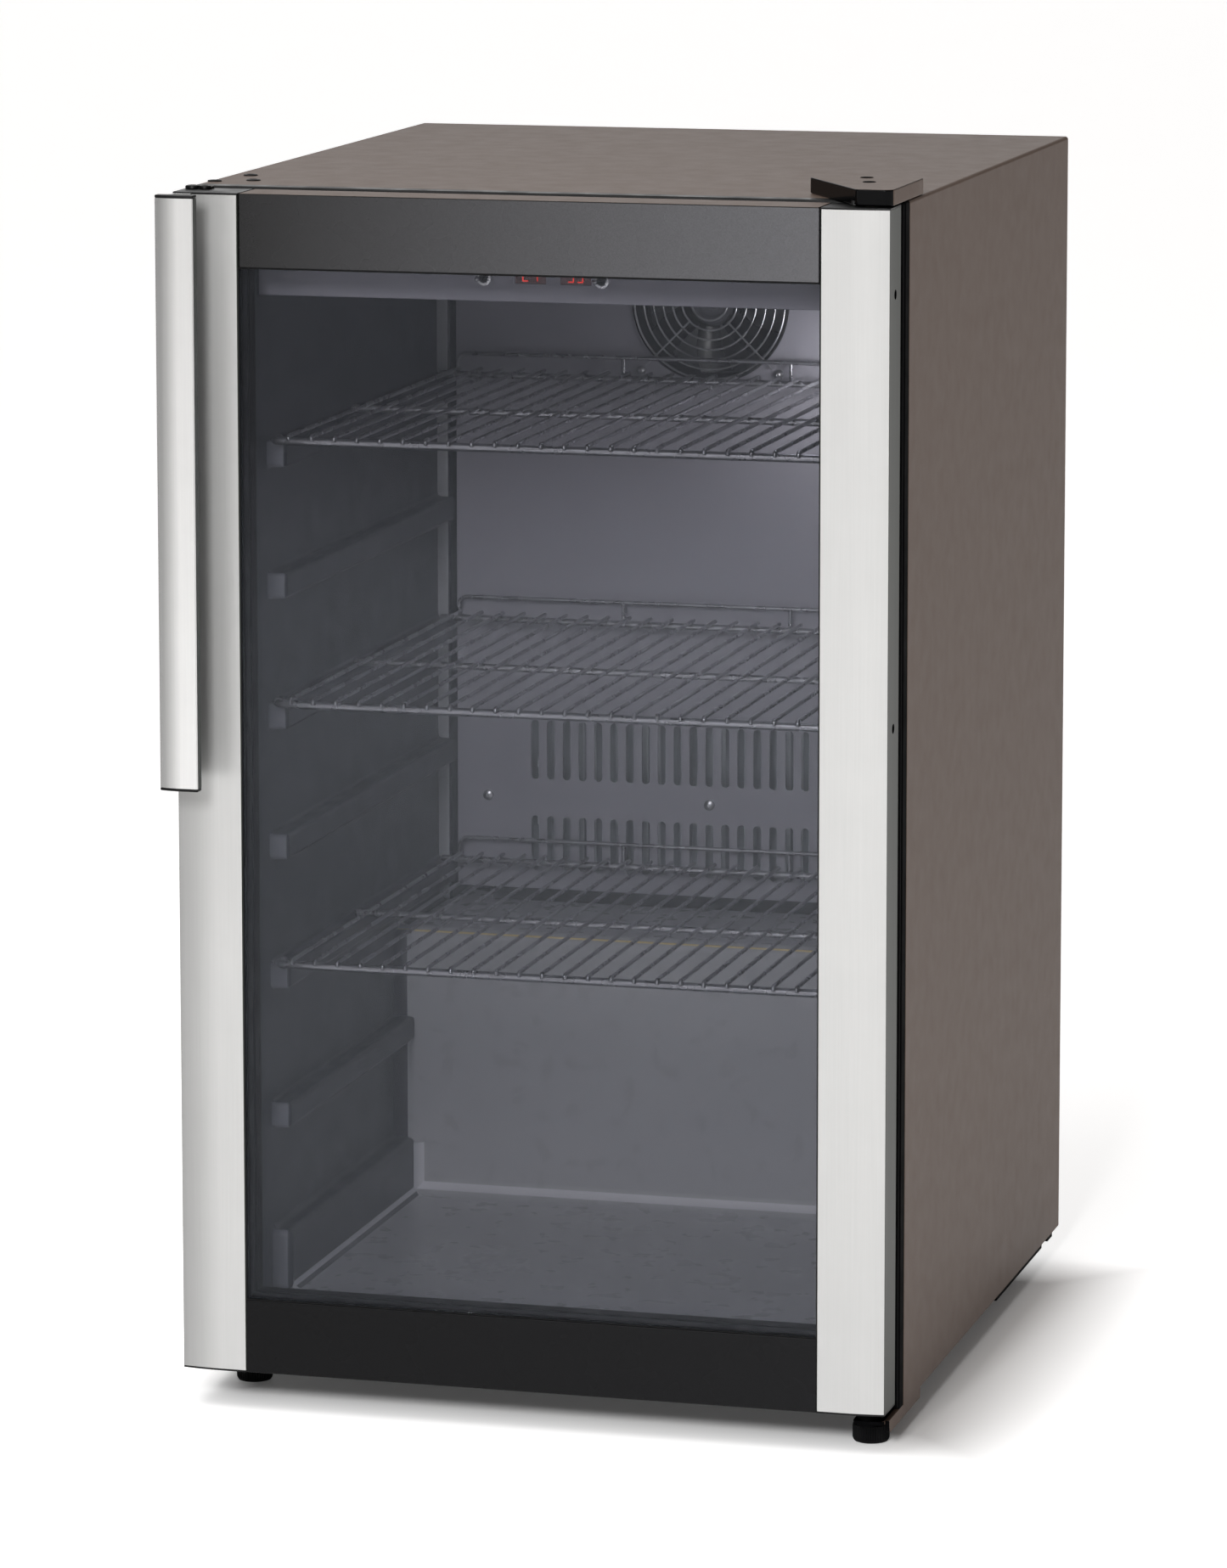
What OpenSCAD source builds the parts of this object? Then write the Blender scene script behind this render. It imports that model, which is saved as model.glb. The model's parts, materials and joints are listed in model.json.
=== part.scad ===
// Countertop glass door merchandiser: an insulated cabinet with three wire shelves,
// a forced-air evaporator, a compressor bay behind and below, and one framed glass door.
// Frame: +Z up, -Y to the front, +X to the hinge side. The origin is at the centre of the
// bounding box's base. Inside the modules, y is counted from the cabinet's front plane.

/* [Cabinet] */
// Width of the cabinet
cab_w = 500; // [496:1:504]
// Depth of the cabinet behind its front plane
cab_d = 538; // [534:1:546]
// Height of the top panel above the floor
cab_h = 847; // [845:1:850]
// Height of the underside above the floor
base_z = 20; // [20:0.5:21]
// Thickness of the side walls, outer skin and liner included
wall_t = 40; // [39:1:42]
// Thickness of the painted steel skins
skin_t = 1; // [0.8:0.1:1.2]
// Thickness of the moulded liner
liner_t = 2; // [1.5:0.5:2.5]
// Height of the inside floor
floor_z = 66; // [64:1:68]
// Height of the inside ceiling
ceiling_z = 806; // [804:1:808]

/* [Liner] */
// How far the shelf ledges stand out from the side walls
ledge_out = 14; // [12:1:15]
// Height of one shelf ledge
ledge_h = 18; // [14:1:20]
// Height of the top of the highest ledge
ledge_top = 667; // [664:0.5:670]
// Distance from one of the regular ledges to the next
ledge_pitch = 91.9; // [91:0.1:93]
// Number of regular ledges on each side
ledge_count = 5; // [5:1:5]
// Height of the top of the extra ledge below them
low_ledge_top = 200; // [196:1:204]
// Top of the kerb along the bottom of each side wall
kerb_z = 108.5; // [100:0.5:112]
// Depth from the front plane to the compressor step
step_y = 330; // [325:1:335]
// Height of the compressor step
step_z = 267; // [262:1:270]

/* [Door] */
// Thickness of the door frame
door_t = 35; // [34:1:36]
// Gap between the door frame and the cabinet's front plane
door_gap = 20; // [20:0.5:21]
// Width of the door
door_w = 498.6; // [496:0.2:499]
// Lowest point of the door
door_z0 = 27.3; // [27:0.1:29]
// Highest point of the door
door_z1 = 846.6; // [845:0.2:846.6]
// Width of the aluminium stiles
stile_w = 46.5; // [45:0.5:48]
// Height of the black rail along the top of the door
top_rail_h = 49.3; // [48:0.1:51]
// Height of the black rail along the bottom of the door
bottom_rail_h = 50.2; // [48:0.1:52]
// How far the handle stands out from the door
handle_out = 40; // [38:1:42]
// Width of the handle
handle_w = 27.6; // [26:0.2:30]
// Lowest point of the handle's aluminium profile
handle_z0 = 443.4; // [430:0.2:450]
// Highest point of the handle's aluminium profile
handle_z1 = 845.8; // [838:0.2:845.8]

/* [Shelves] */
// Number of long wires on a shelf
wire_count = 24; // [20:1:24]
// Distance from one long wire to the next
wire_pitch = 16.4; // [16:0.1:16.4]
// Diameter of the long wires
wire_d = 3; // [2.5:0.1:3.2]
// Diameter of the crossbars
bar_d = 5; // [4:0.5:5]
// Diameter of the front bar
nose_d = 6; // [5:0.5:6]

/* [Air system] */
// Height of the evaporator fan's axis
fan_z = 726.5; // [722:0.5:730]
// Outer size of both square fans
fan_size = 120; // [119:1:120]
// Radius of the fan rotors
rotor_r = 55; // [50:1:56]
// Number of blades on a fan
blade_count = 7; // [5:1:7]
// Radius of a fan's shaft
shaft_r = 2; // [1.5:0.5:2]

/* [Fittings] */
// Radius of the door's hinge pins
pin_r = 4; // [3.5:0.5:4]
// Radial running clearance of pins and shafts
run_gap = 0.05; // [0.03:0.01:0.08]
// Radius of the levelling feet
foot_r = 12.7; // [12:0.1:13]
// Distance between the two handle holes in the hinge-side stile
handle_hole_pitch = 291.6; // [285:0.2:295]
// Height of the middle between the two handle holes
handle_hole_z = 642.1; // [636:0.1:646]
// Radius of the handle holes
handle_hole_r = 2.6; // [2.1:0.1:3]

/* [Hidden] */
$fn = 48;
fit = 0.1;
half_w = cab_w / 2;
front_y = handle_out + door_t + door_gap - (handle_out + door_t + door_gap + cab_d) / 2;
wall_x = half_w - wall_t;
ledge_x = wall_x - ledge_out;
collar_proud = 8;
collar_back = 4;
collar_x = wall_x + liner_t + fit;
foam_x0 = wall_x + liner_t + fit;
foam_x1 = half_w - skin_t - fit;
bay_z1 = 228;
bay_y0 = step_y + wall_t;
back_y = cab_d - 3;
back_lip = back_y + skin_t;
evap_wall_y = 497;
cover_y = 445;
cover_x = 196;
cover_z0 = 278;
pilaster_x = 200;
pilaster_y = 441;
base_t = 1.5;

door_x = door_w / 2;
door_y0 = -door_gap - door_t;
door_y1 = -door_gap;
cap_t = 1.3;
frame_z0 = door_z0 + cap_t;
frame_z1 = door_z1 - cap_t;
stile_x = door_x - stile_w;
rail_in = stile_x - fit;
sight_z0 = frame_z0 + bottom_rail_h;
sight_z1 = frame_z1 - top_rail_h;
pane_t = 4;
pane_gap = 12;
pane_y = door_y0 + 2;
bead_w = 4;
spacer_w = 5;
gasket_w = 20;
gasket_t = door_gap - collar_proud - 0.5;
hinge_x = 234;
hinge_y = -36;
gasket_x = hinge_x - 0.5;
handle_x0 = -door_x + 0.7;
handle_y = door_y0 - handle_out;
handle_cap_t = 2;
bracket_z1 = base_z - 0.5;
bracket_t = 3;
plate_z = cab_h + fit;
cover_top_z = cab_h + 11.7;
boss_low = [-248, -34];
boss_high = [-229.6, -20];
boss_h = 2.1;

crossbar_y = [205, 424];
nose_y = 15;
stop_y = 436;
stop_h = 17;
shelf_x = 203;
shelf_steps = [0, 2, 4];

slot_count = 23;
slot_pitch = 12.3;
slot_w = 6;
slot_rows = [[361.7, 406.7], [292, 333.7]];
cover_screw_x = [-172, 0, 172];
cover_screw_z = 348;
fan_screw = 52.5;
guard_rings = 6;
guard_pitch = 7.3;
guard_r = 21;
guard_wire = 0.8;
panel_y = 12;
panel_z = 770.5;
switch_x = [-48, 35];
switch_z = 786.5;
display_x = [-15.5, 16.5];
display_z = 789;
display_size = [22, 12];
lever_tilt = 12.5;
lever_pivot_y = panel_y + 3;
foot_left = [-224, 28];
foot_right = [231.5, -14];
fan2_x = -96;
fan2_y = 453;
fan2_z = 92;
fan_depth = 38;
inlet_x = 174;
plug_places = [[-234.5, 72.5], [-220.5, 36], [-244.5, 23.5]];
plate_screws = [[212, 24], [238, 24]];
cover_screws = [[212, 40], [221, 8]];
hole_wall = 8;
ledge_tops = concat(
  [for (i = [0 : ledge_count - 1]) ledge_top - i * ledge_pitch], [low_ledge_top]);

// ---- helpers ----

// Moves to the cabinet's front plane
module cab() translate([0, front_y, 0]) children();

// A block between its lowest and highest corners
module block(low, high) translate(low) cube(high - low);

// The children, and their mirror image across the middle plane
module both_sides() {
  children();
  mirror([1, 0, 0]) children();
}

// Extrudes an outline drawn in x and z from y = y0 to y = y1
module upright(y0, y1) translate([0, y1, 0]) rotate([90, 0, 0]) linear_extrude(y1 - y0) children();

// Extrudes an outline drawn in y and z from x = x0 to x = x1
module sideways(x0, x1)
  translate([x0, 0, 0]) rotate([90, 0, 90]) linear_extrude(x1 - x0) children();

// A rod along X, Y or Z that starts at a point
module rod_x(at, len, r) translate(at) rotate([0, 90, 0]) cylinder(h = len, r = r);
module rod_y(at, len, r) translate(at) rotate([-90, 0, 0]) cylinder(h = len, r = r);
module rod_z(at, len, r) translate(at) cylinder(h = len, r = r);

// Four bars that frame a rectangle in x and z; the side bars stand between the other two
module bar_frame(x_out, x_in, z0, z1, wz, y0, y1) {
  both_sides() block([x_in, y0, z0 + wz + fit / 2], [x_out, y1, z1 - wz - fit / 2]);
  block([-x_out, y0, z0], [x_out, y1, z0 + wz]);
  block([-x_out, y0, z1 - wz], [x_out, y1, z1]);
}

// ---- cabinet shell ----

module side_sheet()
  block([half_w - skin_t, collar_back + fit, base_z], [half_w, cab_d, cab_h - skin_t]);

module side_panel_left() color("#6a5f5b") cab() mirror([1, 0, 0]) side_sheet();

module side_panel_right() color("#6a5f5b") cab() side_sheet();

module top_panel() color("#8b7f79") cab() difference() {
  block([-half_w, collar_back + fit, cab_h - skin_t], [half_w, cab_d, cab_h]);
  for (p = plug_places) rod_z([p[0], p[1], cab_h - 2 * skin_t], 3 * skin_t, 4);
}

module rear_panel() color("#5c5553") cab()
  block([-foam_x1, back_y, bay_z1 + 12], [foam_x1, back_lip, cab_h - skin_t - fit]);

module base_pan() color("#2c2b2d") cab() difference() {
  block([-foam_x1, collar_back + fit, base_z], [foam_x1, back_y - fit, base_z + base_t]);
  rod_z([foot_left[0], foot_left[1], base_z - 1], base_t + 2, 4.2);
}

module base_rails() color("#1b1b1c") cab() both_sides() {
  block([half_w - 7, 320, base_z - 5], [half_w - 2, 484, base_z - fit]);
  block([half_w - 7, 501, base_z - 4], [half_w - 1, 518, base_z - fit]);
}

module insulation() color("#d9c68c") cab() {
  foam_z0 = base_z + base_t + fit;
  foam_z1 = cab_h - skin_t - fit;
  foam_y0 = collar_back + fit;
  liner_step = step_y + liner_t + fit;
  difference() {
    both_sides() block([foam_x0 + fit, foam_y0, foam_z0], [foam_x1, back_y - fit, foam_z1]);
    rod_z([foot_left[0], foot_left[1], foam_z0 - 1], 20, 6);
  }
  block([-foam_x0, foam_y0, ceiling_z + liner_t + fit], [foam_x0, back_y - fit, foam_z1]);
  block([-foam_x0, foam_y0, foam_z0], [foam_x0, liner_step - fit, floor_z - liner_t - fit]);
  block([-foam_x0, liner_step, foam_z0], [foam_x0, bay_y0, step_z - liner_t - fit]);
  block([-foam_x0, bay_y0 + fit, bay_z1], [foam_x0, back_y - fit, step_z - liner_t - fit]);
  block([-foam_x0, evap_wall_y + liner_t + fit, step_z], [foam_x0, back_y - fit, ceiling_z + liner_t]);
}

// One side of the liner: the wall, its ledges, the kerb and the pilaster beside the evaporator
// cover. The wall, the lowest ledge and the kerb end at the compressor step.
module liner_side() {
  sideways(wall_x, wall_x + liner_t) polygon([
    [-collar_proud, floor_z - liner_t], [step_y + liner_t, floor_z - liner_t],
    [step_y + liner_t, step_z - liner_t], [evap_wall_y, step_z - liner_t],
    [evap_wall_y, ceiling_z + liner_t], [-collar_proud, ceiling_z + liner_t]]);
  for (z = ledge_tops) {
    end_y = z < step_z ? step_y - fit : pilaster_y - fit;
    block([ledge_x, 28, z - ledge_h], [wall_x - fit / 2, end_y, z]);
  }
  block([ledge_x, 28, floor_z + fit], [wall_x - fit / 2, step_y - fit, kerb_z]);
  block([pilaster_x, pilaster_y, step_z + fit], [wall_x - fit / 2, evap_wall_y - fit, ceiling_z - fit]);
}

module liner_left() color("#44444a") cab() mirror([1, 0, 0]) liner_side();

module liner_right() color("#44444a") cab() liner_side();

module liner_ceiling() color("#4a4a50") cab()
  block([-wall_x + fit, -collar_proud, ceiling_z], [wall_x - fit, evap_wall_y, ceiling_z + liner_t]);

module liner_floor() color("#55545a") cab() {
  x = wall_x - fit;
  block([-x, -collar_proud, floor_z - liner_t], [x, step_y - fit, floor_z]);
  block([-x, step_y, floor_z - liner_t], [x, step_y + liner_t, step_z - liner_t - fit / 2]);
  block([-x, step_y, step_z - liner_t], [x, evap_wall_y - fit, step_z]);
}

module liner_rear() color("#4a4a50") cab()
  block([-wall_x + fit, evap_wall_y, step_z - liner_t + fit],
        [wall_x - fit, evap_wall_y + liner_t, ceiling_z - fit]);

module front_collar() color("#1c1c1e") cab() {
  z_low = floor_z - liner_t - fit;
  z_high = ceiling_z + liner_t + fit;
  both_sides()
    block([collar_x, -collar_proud, z_low + fit], [half_w - 0.3, collar_back, z_high - fit]);
  block([-half_w + 0.3, -collar_proud, base_z], [half_w - 0.3, collar_back, z_low]);
  block([-half_w + 0.3, -collar_proud, z_high], [half_w - 0.3, collar_back, cab_h]);
}

// ---- evaporator ----

module slot_outline(z0, z1) {
  translate([0, z0 + slot_w / 2]) circle(d = slot_w, $fn = 16);
  translate([0, z1 - slot_w / 2]) circle(d = slot_w, $fn = 16);
  translate([-slot_w / 2, z0 + slot_w / 2]) square([slot_w, z1 - z0 - slot_w]);
}

module evaporator_cover() color("#5b5a60") cab() {
  upright(cover_y, cover_y + 1.5) difference() {
    translate([-cover_x, cover_z0]) square([2 * cover_x, ceiling_z - fit - cover_z0]);
    translate([0, fan_z]) circle(d = fan_size + 1, $fn = 96);
    for (row = slot_rows, i = [0 : slot_count - 1])
      translate([(i - (slot_count - 1) / 2) * slot_pitch, 0]) slot_outline(row[0], row[1]);
    for (sx = [-1, 1], sz = [-1, 1])
      translate([sx * fan_screw, fan_z + sz * fan_screw]) circle(r = 2.2);
  }
  both_sides()
    block([cover_x - 1.5, cover_y + 1.6, cover_z0], [cover_x, evap_wall_y - 20, ceiling_z - fit]);
}

// A finned heat exchanger seen along its tubes: fins on a middle web, with return bends at
// both ends. It runs along X from x0, and its section is dy deep and dz tall.
module finned_coil(x0, len, dy, dz, fin_gap) {
  web = 1;
  linear_extrude(dz) {
    translate([x0, -web / 2]) square([len, web]);
    for (x = [x0 : fin_gap : x0 + len - 0.5]) translate([x, -dy / 2]) square([0.5, dy]);
  }
  for (z = [20 : 44 : dz - 24], end = [0, 1])
    translate([x0 + end * len + (end ? 0.1 : -0.1), 0, z + 11]) rotate([90, 0, end ? 0 : 180])
      rotate_extrude(angle = 180, $fn = 32) translate([11, 0]) circle(r = 4, $fn = 16);
}

module evaporator_coil() color("#b9bcc0") cab()
  translate([0, 470, cover_z0 + 14]) finned_coil(-150, 300, 34, 250, 10);

module drain_trough() color("#2b2b2e") cab() difference() {
  block([-170, 450, step_z + 0.5], [170, 494, step_z + 12]);
  block([-168, 452, step_z + 2.5], [168, 492, step_z + 13]);
}

// A square axial fan frame: ring, four mounting holes, motor can on four struts.
// Its axis is +Y, and its front face is at y = 0.
module fan_frame() {
  difference() {
    block([-fan_size / 2, 0, -fan_size / 2], [fan_size / 2, fan_depth, fan_size / 2]);
    rod_y([0, -1, 0], fan_depth + 2, fan_size / 2 - 2);
    for (sx = [-1, 1], sz = [-1, 1])
      rod_y([sx * fan_screw, -1, sz * fan_screw], fan_depth + 2, 2.2);
  }
  for (a = [45 : 90 : 315]) rotate([0, a, 0])
    block([19, fan_depth - 4, -2.5], [fan_size / 2 - 1, fan_depth, 2.5]);
  difference() {
    rod_y([0, fan_depth - 10, 0], 10, 20);
    rod_y([0, fan_depth - 11, 0], 12, shaft_r + run_gap);
  }
}

// The rotor that turns in fan_frame: hub cup, shaft and pitched blades
module fan_rotor() {
  hub_r = 19;
  y0 = 4;
  y1 = fan_depth - 11;
  rod_y([0, y0, 0], y1 - y0, hub_r);
  rod_y([0, y1 - 1, 0], 11, shaft_r);
  intersection() {
    rod_y([0, y0 - 1, 0], y1 - y0 + 2, rotor_r, $fn = 96);
    for (i = [0 : blade_count - 1]) rotate([0, i * 360 / blade_count, 0])
      translate([0, (y0 + y1) / 2, 0]) rotate([32, 0, 0])
        block([hub_r - 3, -0.8, -16], [rotor_r + 5, 0.8, 16]);
  }
}

module at_fan1() cab() translate([0, cover_y + 1.6, fan_z]) children();

module at_fan2() cab() translate([fan2_x, fan2_y, fan2_z]) rotate([0, 0, 90]) children();

module evaporator_fan_frame() color("#232326") at_fan1() fan_frame();

module evaporator_fan_rotor() color("#2a2a2d") at_fan1() fan_rotor();

module evaporator_fan_guard() color("#8f9092") cab() translate([0, cover_y, fan_z]) {
  ring_y = -1 - guard_wire;
  for (i = [0 : guard_rings - 1]) translate([0, ring_y, 0]) rotate([90, 0, 0])
    rotate_extrude($fn = 64) translate([guard_r + i * guard_pitch, 0]) circle(r = guard_wire, $fn = 16);
  for (a = [45 : 90 : 315]) rotate([0, a, 0])
    rod_x([guard_r - 1, ring_y - 2 * guard_wire - fit / 2, 0], 49, guard_wire, $fn = 16);
}

// ---- controls and lamp ----

module control_housing() color("#4c4b51") cab() {
  upright(panel_y, panel_y + 2) difference() {
    translate([-wall_x + 0.3, panel_z]) square([2 * wall_x - 0.6, ceiling_z - fit - panel_z]);
    for (x = display_x) translate([x - display_size[0] / 2, display_z - display_size[1] / 2])
      square(display_size);
    for (x = switch_x) translate([x, switch_z]) circle(r = 3.6);
  }
  block([-wall_x + 0.3, panel_y + 2 + fit, panel_z], [wall_x - 0.3, 90, panel_z + 2]);
  block([-wall_x + 0.3, 88, panel_z + 2 + fit], [wall_x - 0.3, 90, ceiling_z - fit]);
}

module controller_board() color("#2f5a3a") cab() {
  block([-60, 40, panel_z + 3], [60, 42, ceiling_z - 4]);
  block([-40, 42.1, panel_z + 8], [-22, 56, panel_z + 28]);
  block([10, 42.1, panel_z + 8], [30, 52, panel_z + 24]);
}

module display_windows() color("#7c2326") cab() for (x = display_x)
  block([x - display_size[0] / 2 + fit, panel_y + 0.4, display_z - display_size[1] / 2 + fit],
        [x + display_size[0] / 2 - fit, panel_y + 8, display_z + display_size[1] / 2 - fit]);

module toggle_bushings() color("#b8b8b8") cab() for (x = switch_x) translate([x, 0, switch_z]) {
  difference() {
    union() {
      rod_y([0, panel_y - 1.5, 0], 1.4, 5.2, $fn = 32);
      rod_y([0, panel_y - 3, 0], 12, 3.5, $fn = 32);
    }
    rod_y([0, panel_y - 4, 0], 12, 2.7, $fn = 32);
  }
  block([-6, panel_y + 9.1, -4], [6, panel_y + 22, 4]);
}

// A lever on a ball, with the pin that it tips about
module toggle_lever(x) cab() translate([x, lever_pivot_y, switch_z]) rotate([0, 0, -lever_tilt]) {
  rotate([90, 0, 0]) {
    cylinder(h = 8, r = 1, $fn = 24);
    translate([0, 0, 7.9]) cylinder(h = 5, r1 = 1, r2 = 1.7, $fn = 24);
  }
  sphere(r = 1.9, $fn = 24);
  translate([0, 0, -2.4]) cylinder(h = 4.8, r = 0.8, $fn = 24);
}

module toggle_lever_left() color("#cfcfcf") toggle_lever(switch_x[0]);

module toggle_lever_right() color("#cfcfcf") toggle_lever(switch_x[1]);

module lamp_holder() color("#e4e4e2") cab()
  block([120, 92, ceiling_z - 16], [204, 130, ceiling_z - fit]);

module lamp_lens() color("#f4f3ee") cab()
  block([126, 96, ceiling_z - 22], [198, 126, ceiling_z - 16 - fit]);

// ---- compressor bay ----

module compressor() color("#1d1d1f") cab() translate([95, fan2_y, base_z + base_t]) {
  rotate_extrude($fn = 72) polygon(concat(
    [[0, 12]], [for (a = [-90 : 15 : 0]) [50 + 18 * cos(a), 30 + 18 * sin(a)]],
    [for (a = [0 : 10 : 90]) [68 * cos(a), 105 + 42 * sin(a)]]));
  for (sx = [-1, 1]) difference() {
    block([sx * 55 - 18, -60, 8], [sx * 55 + 18, 60, 11.9]);
    for (sy = [-1, 1]) rod_z([sx * 58, sy * 50, 6], 8, 6.2);
  }
  block([68.5, -22, 40], [92, 22, 92]);
}

module compressor_mounts() color("#252525") cab() translate([95, fan2_y, base_z + base_t])
  for (sx = [-1, 1], sy = [-1, 1]) translate([sx * 58, sy * 50, 0]) {
    rod_z([0, 0, fit], 7.8, 10);
    rod_z([0, 0, fit], 16, 6);
  }

module condenser_coil() color("#3a3a3c") cab()
  translate([-172, fan2_y, 38]) rotate([0, 0, 90]) finned_coil(-62, 124, 44, 150, 8);

module condenser_fan_frame() color("#232326") at_fan2() fan_frame();

module condenser_fan_rotor() color("#2a2a2d") at_fan2() fan_rotor();

// A pipe through points that are joined by runs along X, Y or Z, with a ball at each elbow
module pipe(points) for (i = [0 : len(points) - 2]) {
  run = points[i + 1] - points[i];
  turn = run[0] != 0 ? [0, 90 * sign(run[0]), 0]
    : run[1] != 0 ? [-90 * sign(run[1]), 0, 0]
    : [run[2] < 0 ? 180 : 0, 0, 0];
  translate(points[i]) rotate(turn) cylinder(h = norm(run), r = 3, $fn = 24);
  if (i > 0) translate(points[i]) sphere(r = 4, $fn = 24);
}

module refrigerant_pipes() color("#b06a3c") cab() {
  discharge = [[65, fan2_y, 169], [65, fan2_y, 206], [-172, fan2_y, 206], [-172, fan2_y, 189]];
  liquid = [[-172, 510, 189], [-172, 510, 206], [-120, 510, 206]];
  capillary = [[-20, 510, 206], [30, 510, 206], [30, 510, 227]];
  suction = [[110, 480, 227], [110, 480, 212], [110, fan2_y, 212], [110, fan2_y, 169]];
  for (route = [discharge, liquid, capillary, suction]) pipe(route);
  rod_x([-120, 510, 206], 100, 9, $fn = 32);
}

module condensate_tray() color("#2f2f32") cab() difference() {
  block([-208, 376, base_z + base_t + fit], [-137, 530, base_z + base_t + 14]);
  block([-206, 378, base_z + base_t + 2], [-139, 528, base_z + base_t + 15]);
}

module rear_grille() color("#232325") cab() upright(back_y, back_lip) difference() {
  translate([-foam_x1, base_z + base_t + 0.5]) square([2 * foam_x1, bay_z1 + 11 - base_z - base_t]);
  for (i = [0 : 10], side = [-1, 0]) translate([side * 180 - 10 + (side + 1) * 30, 50 + i * 15])
    square([150, 6]);
  translate([inlet_x, 50]) square([32, 26]);
}

module mains_inlet() color("#1a1a1b") cab() difference() {
  block([inlet_x + 0.2, back_y - 24, 50.2], [inlet_x + 31.8, back_lip + 1.5, 75.8]);
  block([inlet_x + 4, back_y - 16, 54], [inlet_x + 28, back_lip + 2, 72]);
}

// ---- hinges, feet and small fittings ----

module hinge_outline() polygon([[205, -10], [222, -42], [246, -42], [246, 38], [186, 38]]);

module top_hinge_plate() color("#2f2f31") cab() difference() {
  union() {
    translate([0, 0, plate_z]) linear_extrude(3) hinge_outline();
    rod_z([hinge_x, hinge_y, cab_h - 21], 22, pin_r);
  }
  for (p = plate_screws) rod_z([p[0], p[1], cab_h - 1], 6, 2.6);
}

module cover_outline() polygon([
  [172, 39], [226, -44], [230, -46], [245, -46],
  [249, -42], [249.4, 44], [245, 50], [240, 50]]);

module top_hinge_cover() color("#111113") cab() difference() {
  translate([0, 0, cab_h + fit]) linear_extrude(cover_top_z - cab_h - fit) cover_outline();
  translate([0, 0, cab_h - 1]) linear_extrude(4.5) hinge_grown();
  for (p = plate_screws) rod_z([p[0], p[1], cab_h], 6.4, 5.4);
  for (p = cover_screws) rod_z([p[0], p[1], cover_top_z - 4], 6, 4.5);
}

// Room for the hinge plate under its cover
module hinge_grown()
  polygon([[204, -10.5], [221.4, -43], [247, -43], [247, 39], [184, 39]]);

module bottom_hinge_bracket() color("#5f5550") cab() {
  difference() {
    union() {
      block([206, -46, bracket_z1 - bracket_t], [246.9, 58, bracket_z1]);
      block([246.8, -39, bracket_z1 - 7.5], [249.8, 58, bracket_z1]);
      rod_z([hinge_x, hinge_y, bracket_z1 - bracket_t], door_z0 - bracket_z1 + bracket_t - 0.1, 7);
      rod_z([hinge_x, hinge_y, bracket_z1], 29, pin_r);
    }
    rod_z([foot_right[0], foot_right[1], base_z - 8], 12, 4.2);
  }
}

module hinge_hole_plugs() color("#161617") cab() for (p = plug_places) {
  rod_z([p[0], p[1], cab_h + fit / 2], 1, 5);
  rod_z([p[0], p[1], cab_h - skin_t], skin_t + fit, 3.9);
}

module cabinet_screws() color("#9a9a9c") cab() {
  for (p = plate_screws) rod_z([p[0], p[1], plate_z + 3 + fit / 2], 2.4, 4.6, $fn = 32);
  for (p = cover_screws) rod_z([p[0], p[1], cover_top_z - 3.9], 2.4, 4.3, $fn = 32);
  for (x = cover_screw_x) rod_y([x, cover_y - 2.6, cover_screw_z], 2.5, 4, $fn = 32);
  for (sx = [-1, 1], sz = [-1, 1])
    rod_y([sx * fan_screw, cover_y - 4.2, fan_z + sz * fan_screw], 4.1, 3.6, $fn = 32);
  for (sx = [-1, 1], z = [40, 222]) rod_y([sx * 240, back_lip + fit / 2, z], 1.7, 4, $fn = 32);
}

module rear_feet() color("#161617") cab() both_sides()
  rod_z([215, 500, 0], base_z - fit, 11);

// A levelling foot: pad, neck and threaded stud, with its axis at a point
module levelling_foot(at, stud_top) cab() translate([at[0], at[1], 0]) {
  cylinder(h = 13, r = foot_r);
  translate([0, 0, 12.9]) cylinder(h = 2.6, r = 7);
  cylinder(h = stud_top, r = 4);
}

module foot_left() color("#151517") levelling_foot(foot_left, 36);

module foot_right() color("#151517") levelling_foot(foot_right, 26);

// ---- door ----

// A hollow stile profile seen from above, with its outer front edge rounded and a thicker
// wall down its outer side
module stile_outline(t) {
  r = 6;
  outer_wall = 4;
  difference() {
    polygon(concat(
      [[stile_x, door_y1], [stile_x, door_y0]],
      [for (a = [-90 : 15 : 0]) [door_x - r + r * cos(a), door_y0 + r + r * sin(a)]],
      [[door_x, door_y1]]));
    translate([stile_x + t, door_y0 + t]) square([stile_w - t - outer_wall, door_t - 2 * t]);
  }
}

module stile() translate([0, 0, frame_z0 + fit]) linear_extrude(frame_z1 - frame_z0 - 2 * fit)
  stile_outline(2);

module door_stile_left() color("#cfd0d1") cab() mirror([1, 0, 0]) stile();

module door_stile_right() color("#cfd0d1") cab() difference() {
  stile();
  for (sz = [-1, 1])
    rod_x([door_x - hole_wall, hinge_y, handle_hole_z + sz * handle_hole_pitch / 2], 12,
      handle_hole_r, $fn = 32);
}

module door_rail(z0, z1) difference() {
  block([-rail_in, door_y0, z0], [rail_in, door_y1, z1]);
  block([-rail_in - 1, door_y0 + 2, z0 + 2], [rail_in + 1, door_y1 - 2, z1 - 2]);
}

module door_rail_top() color("#3b3a3f") cab() door_rail(sight_z1, frame_z1 - fit);

module door_rail_bottom() color("#29272b") cab() door_rail(frame_z0 + fit, sight_z0);

module door_end_caps() color("#151516") cab() difference() {
  union() {
    for (z = [door_z0, door_z1 - cap_t])
      block([-door_x, door_y0, z], [door_x, door_y1, z + cap_t]);
    block([boss_low[0], boss_low[1], door_z1 - 0.1],
          [boss_high[0], boss_high[1], cab_h + boss_h]);
  }
  rod_z([hinge_x, hinge_y, door_z0 - 1], 6, 6.05);
  rod_z([hinge_x, hinge_y, door_z1 - 5], 6, 6.05);
}

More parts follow.
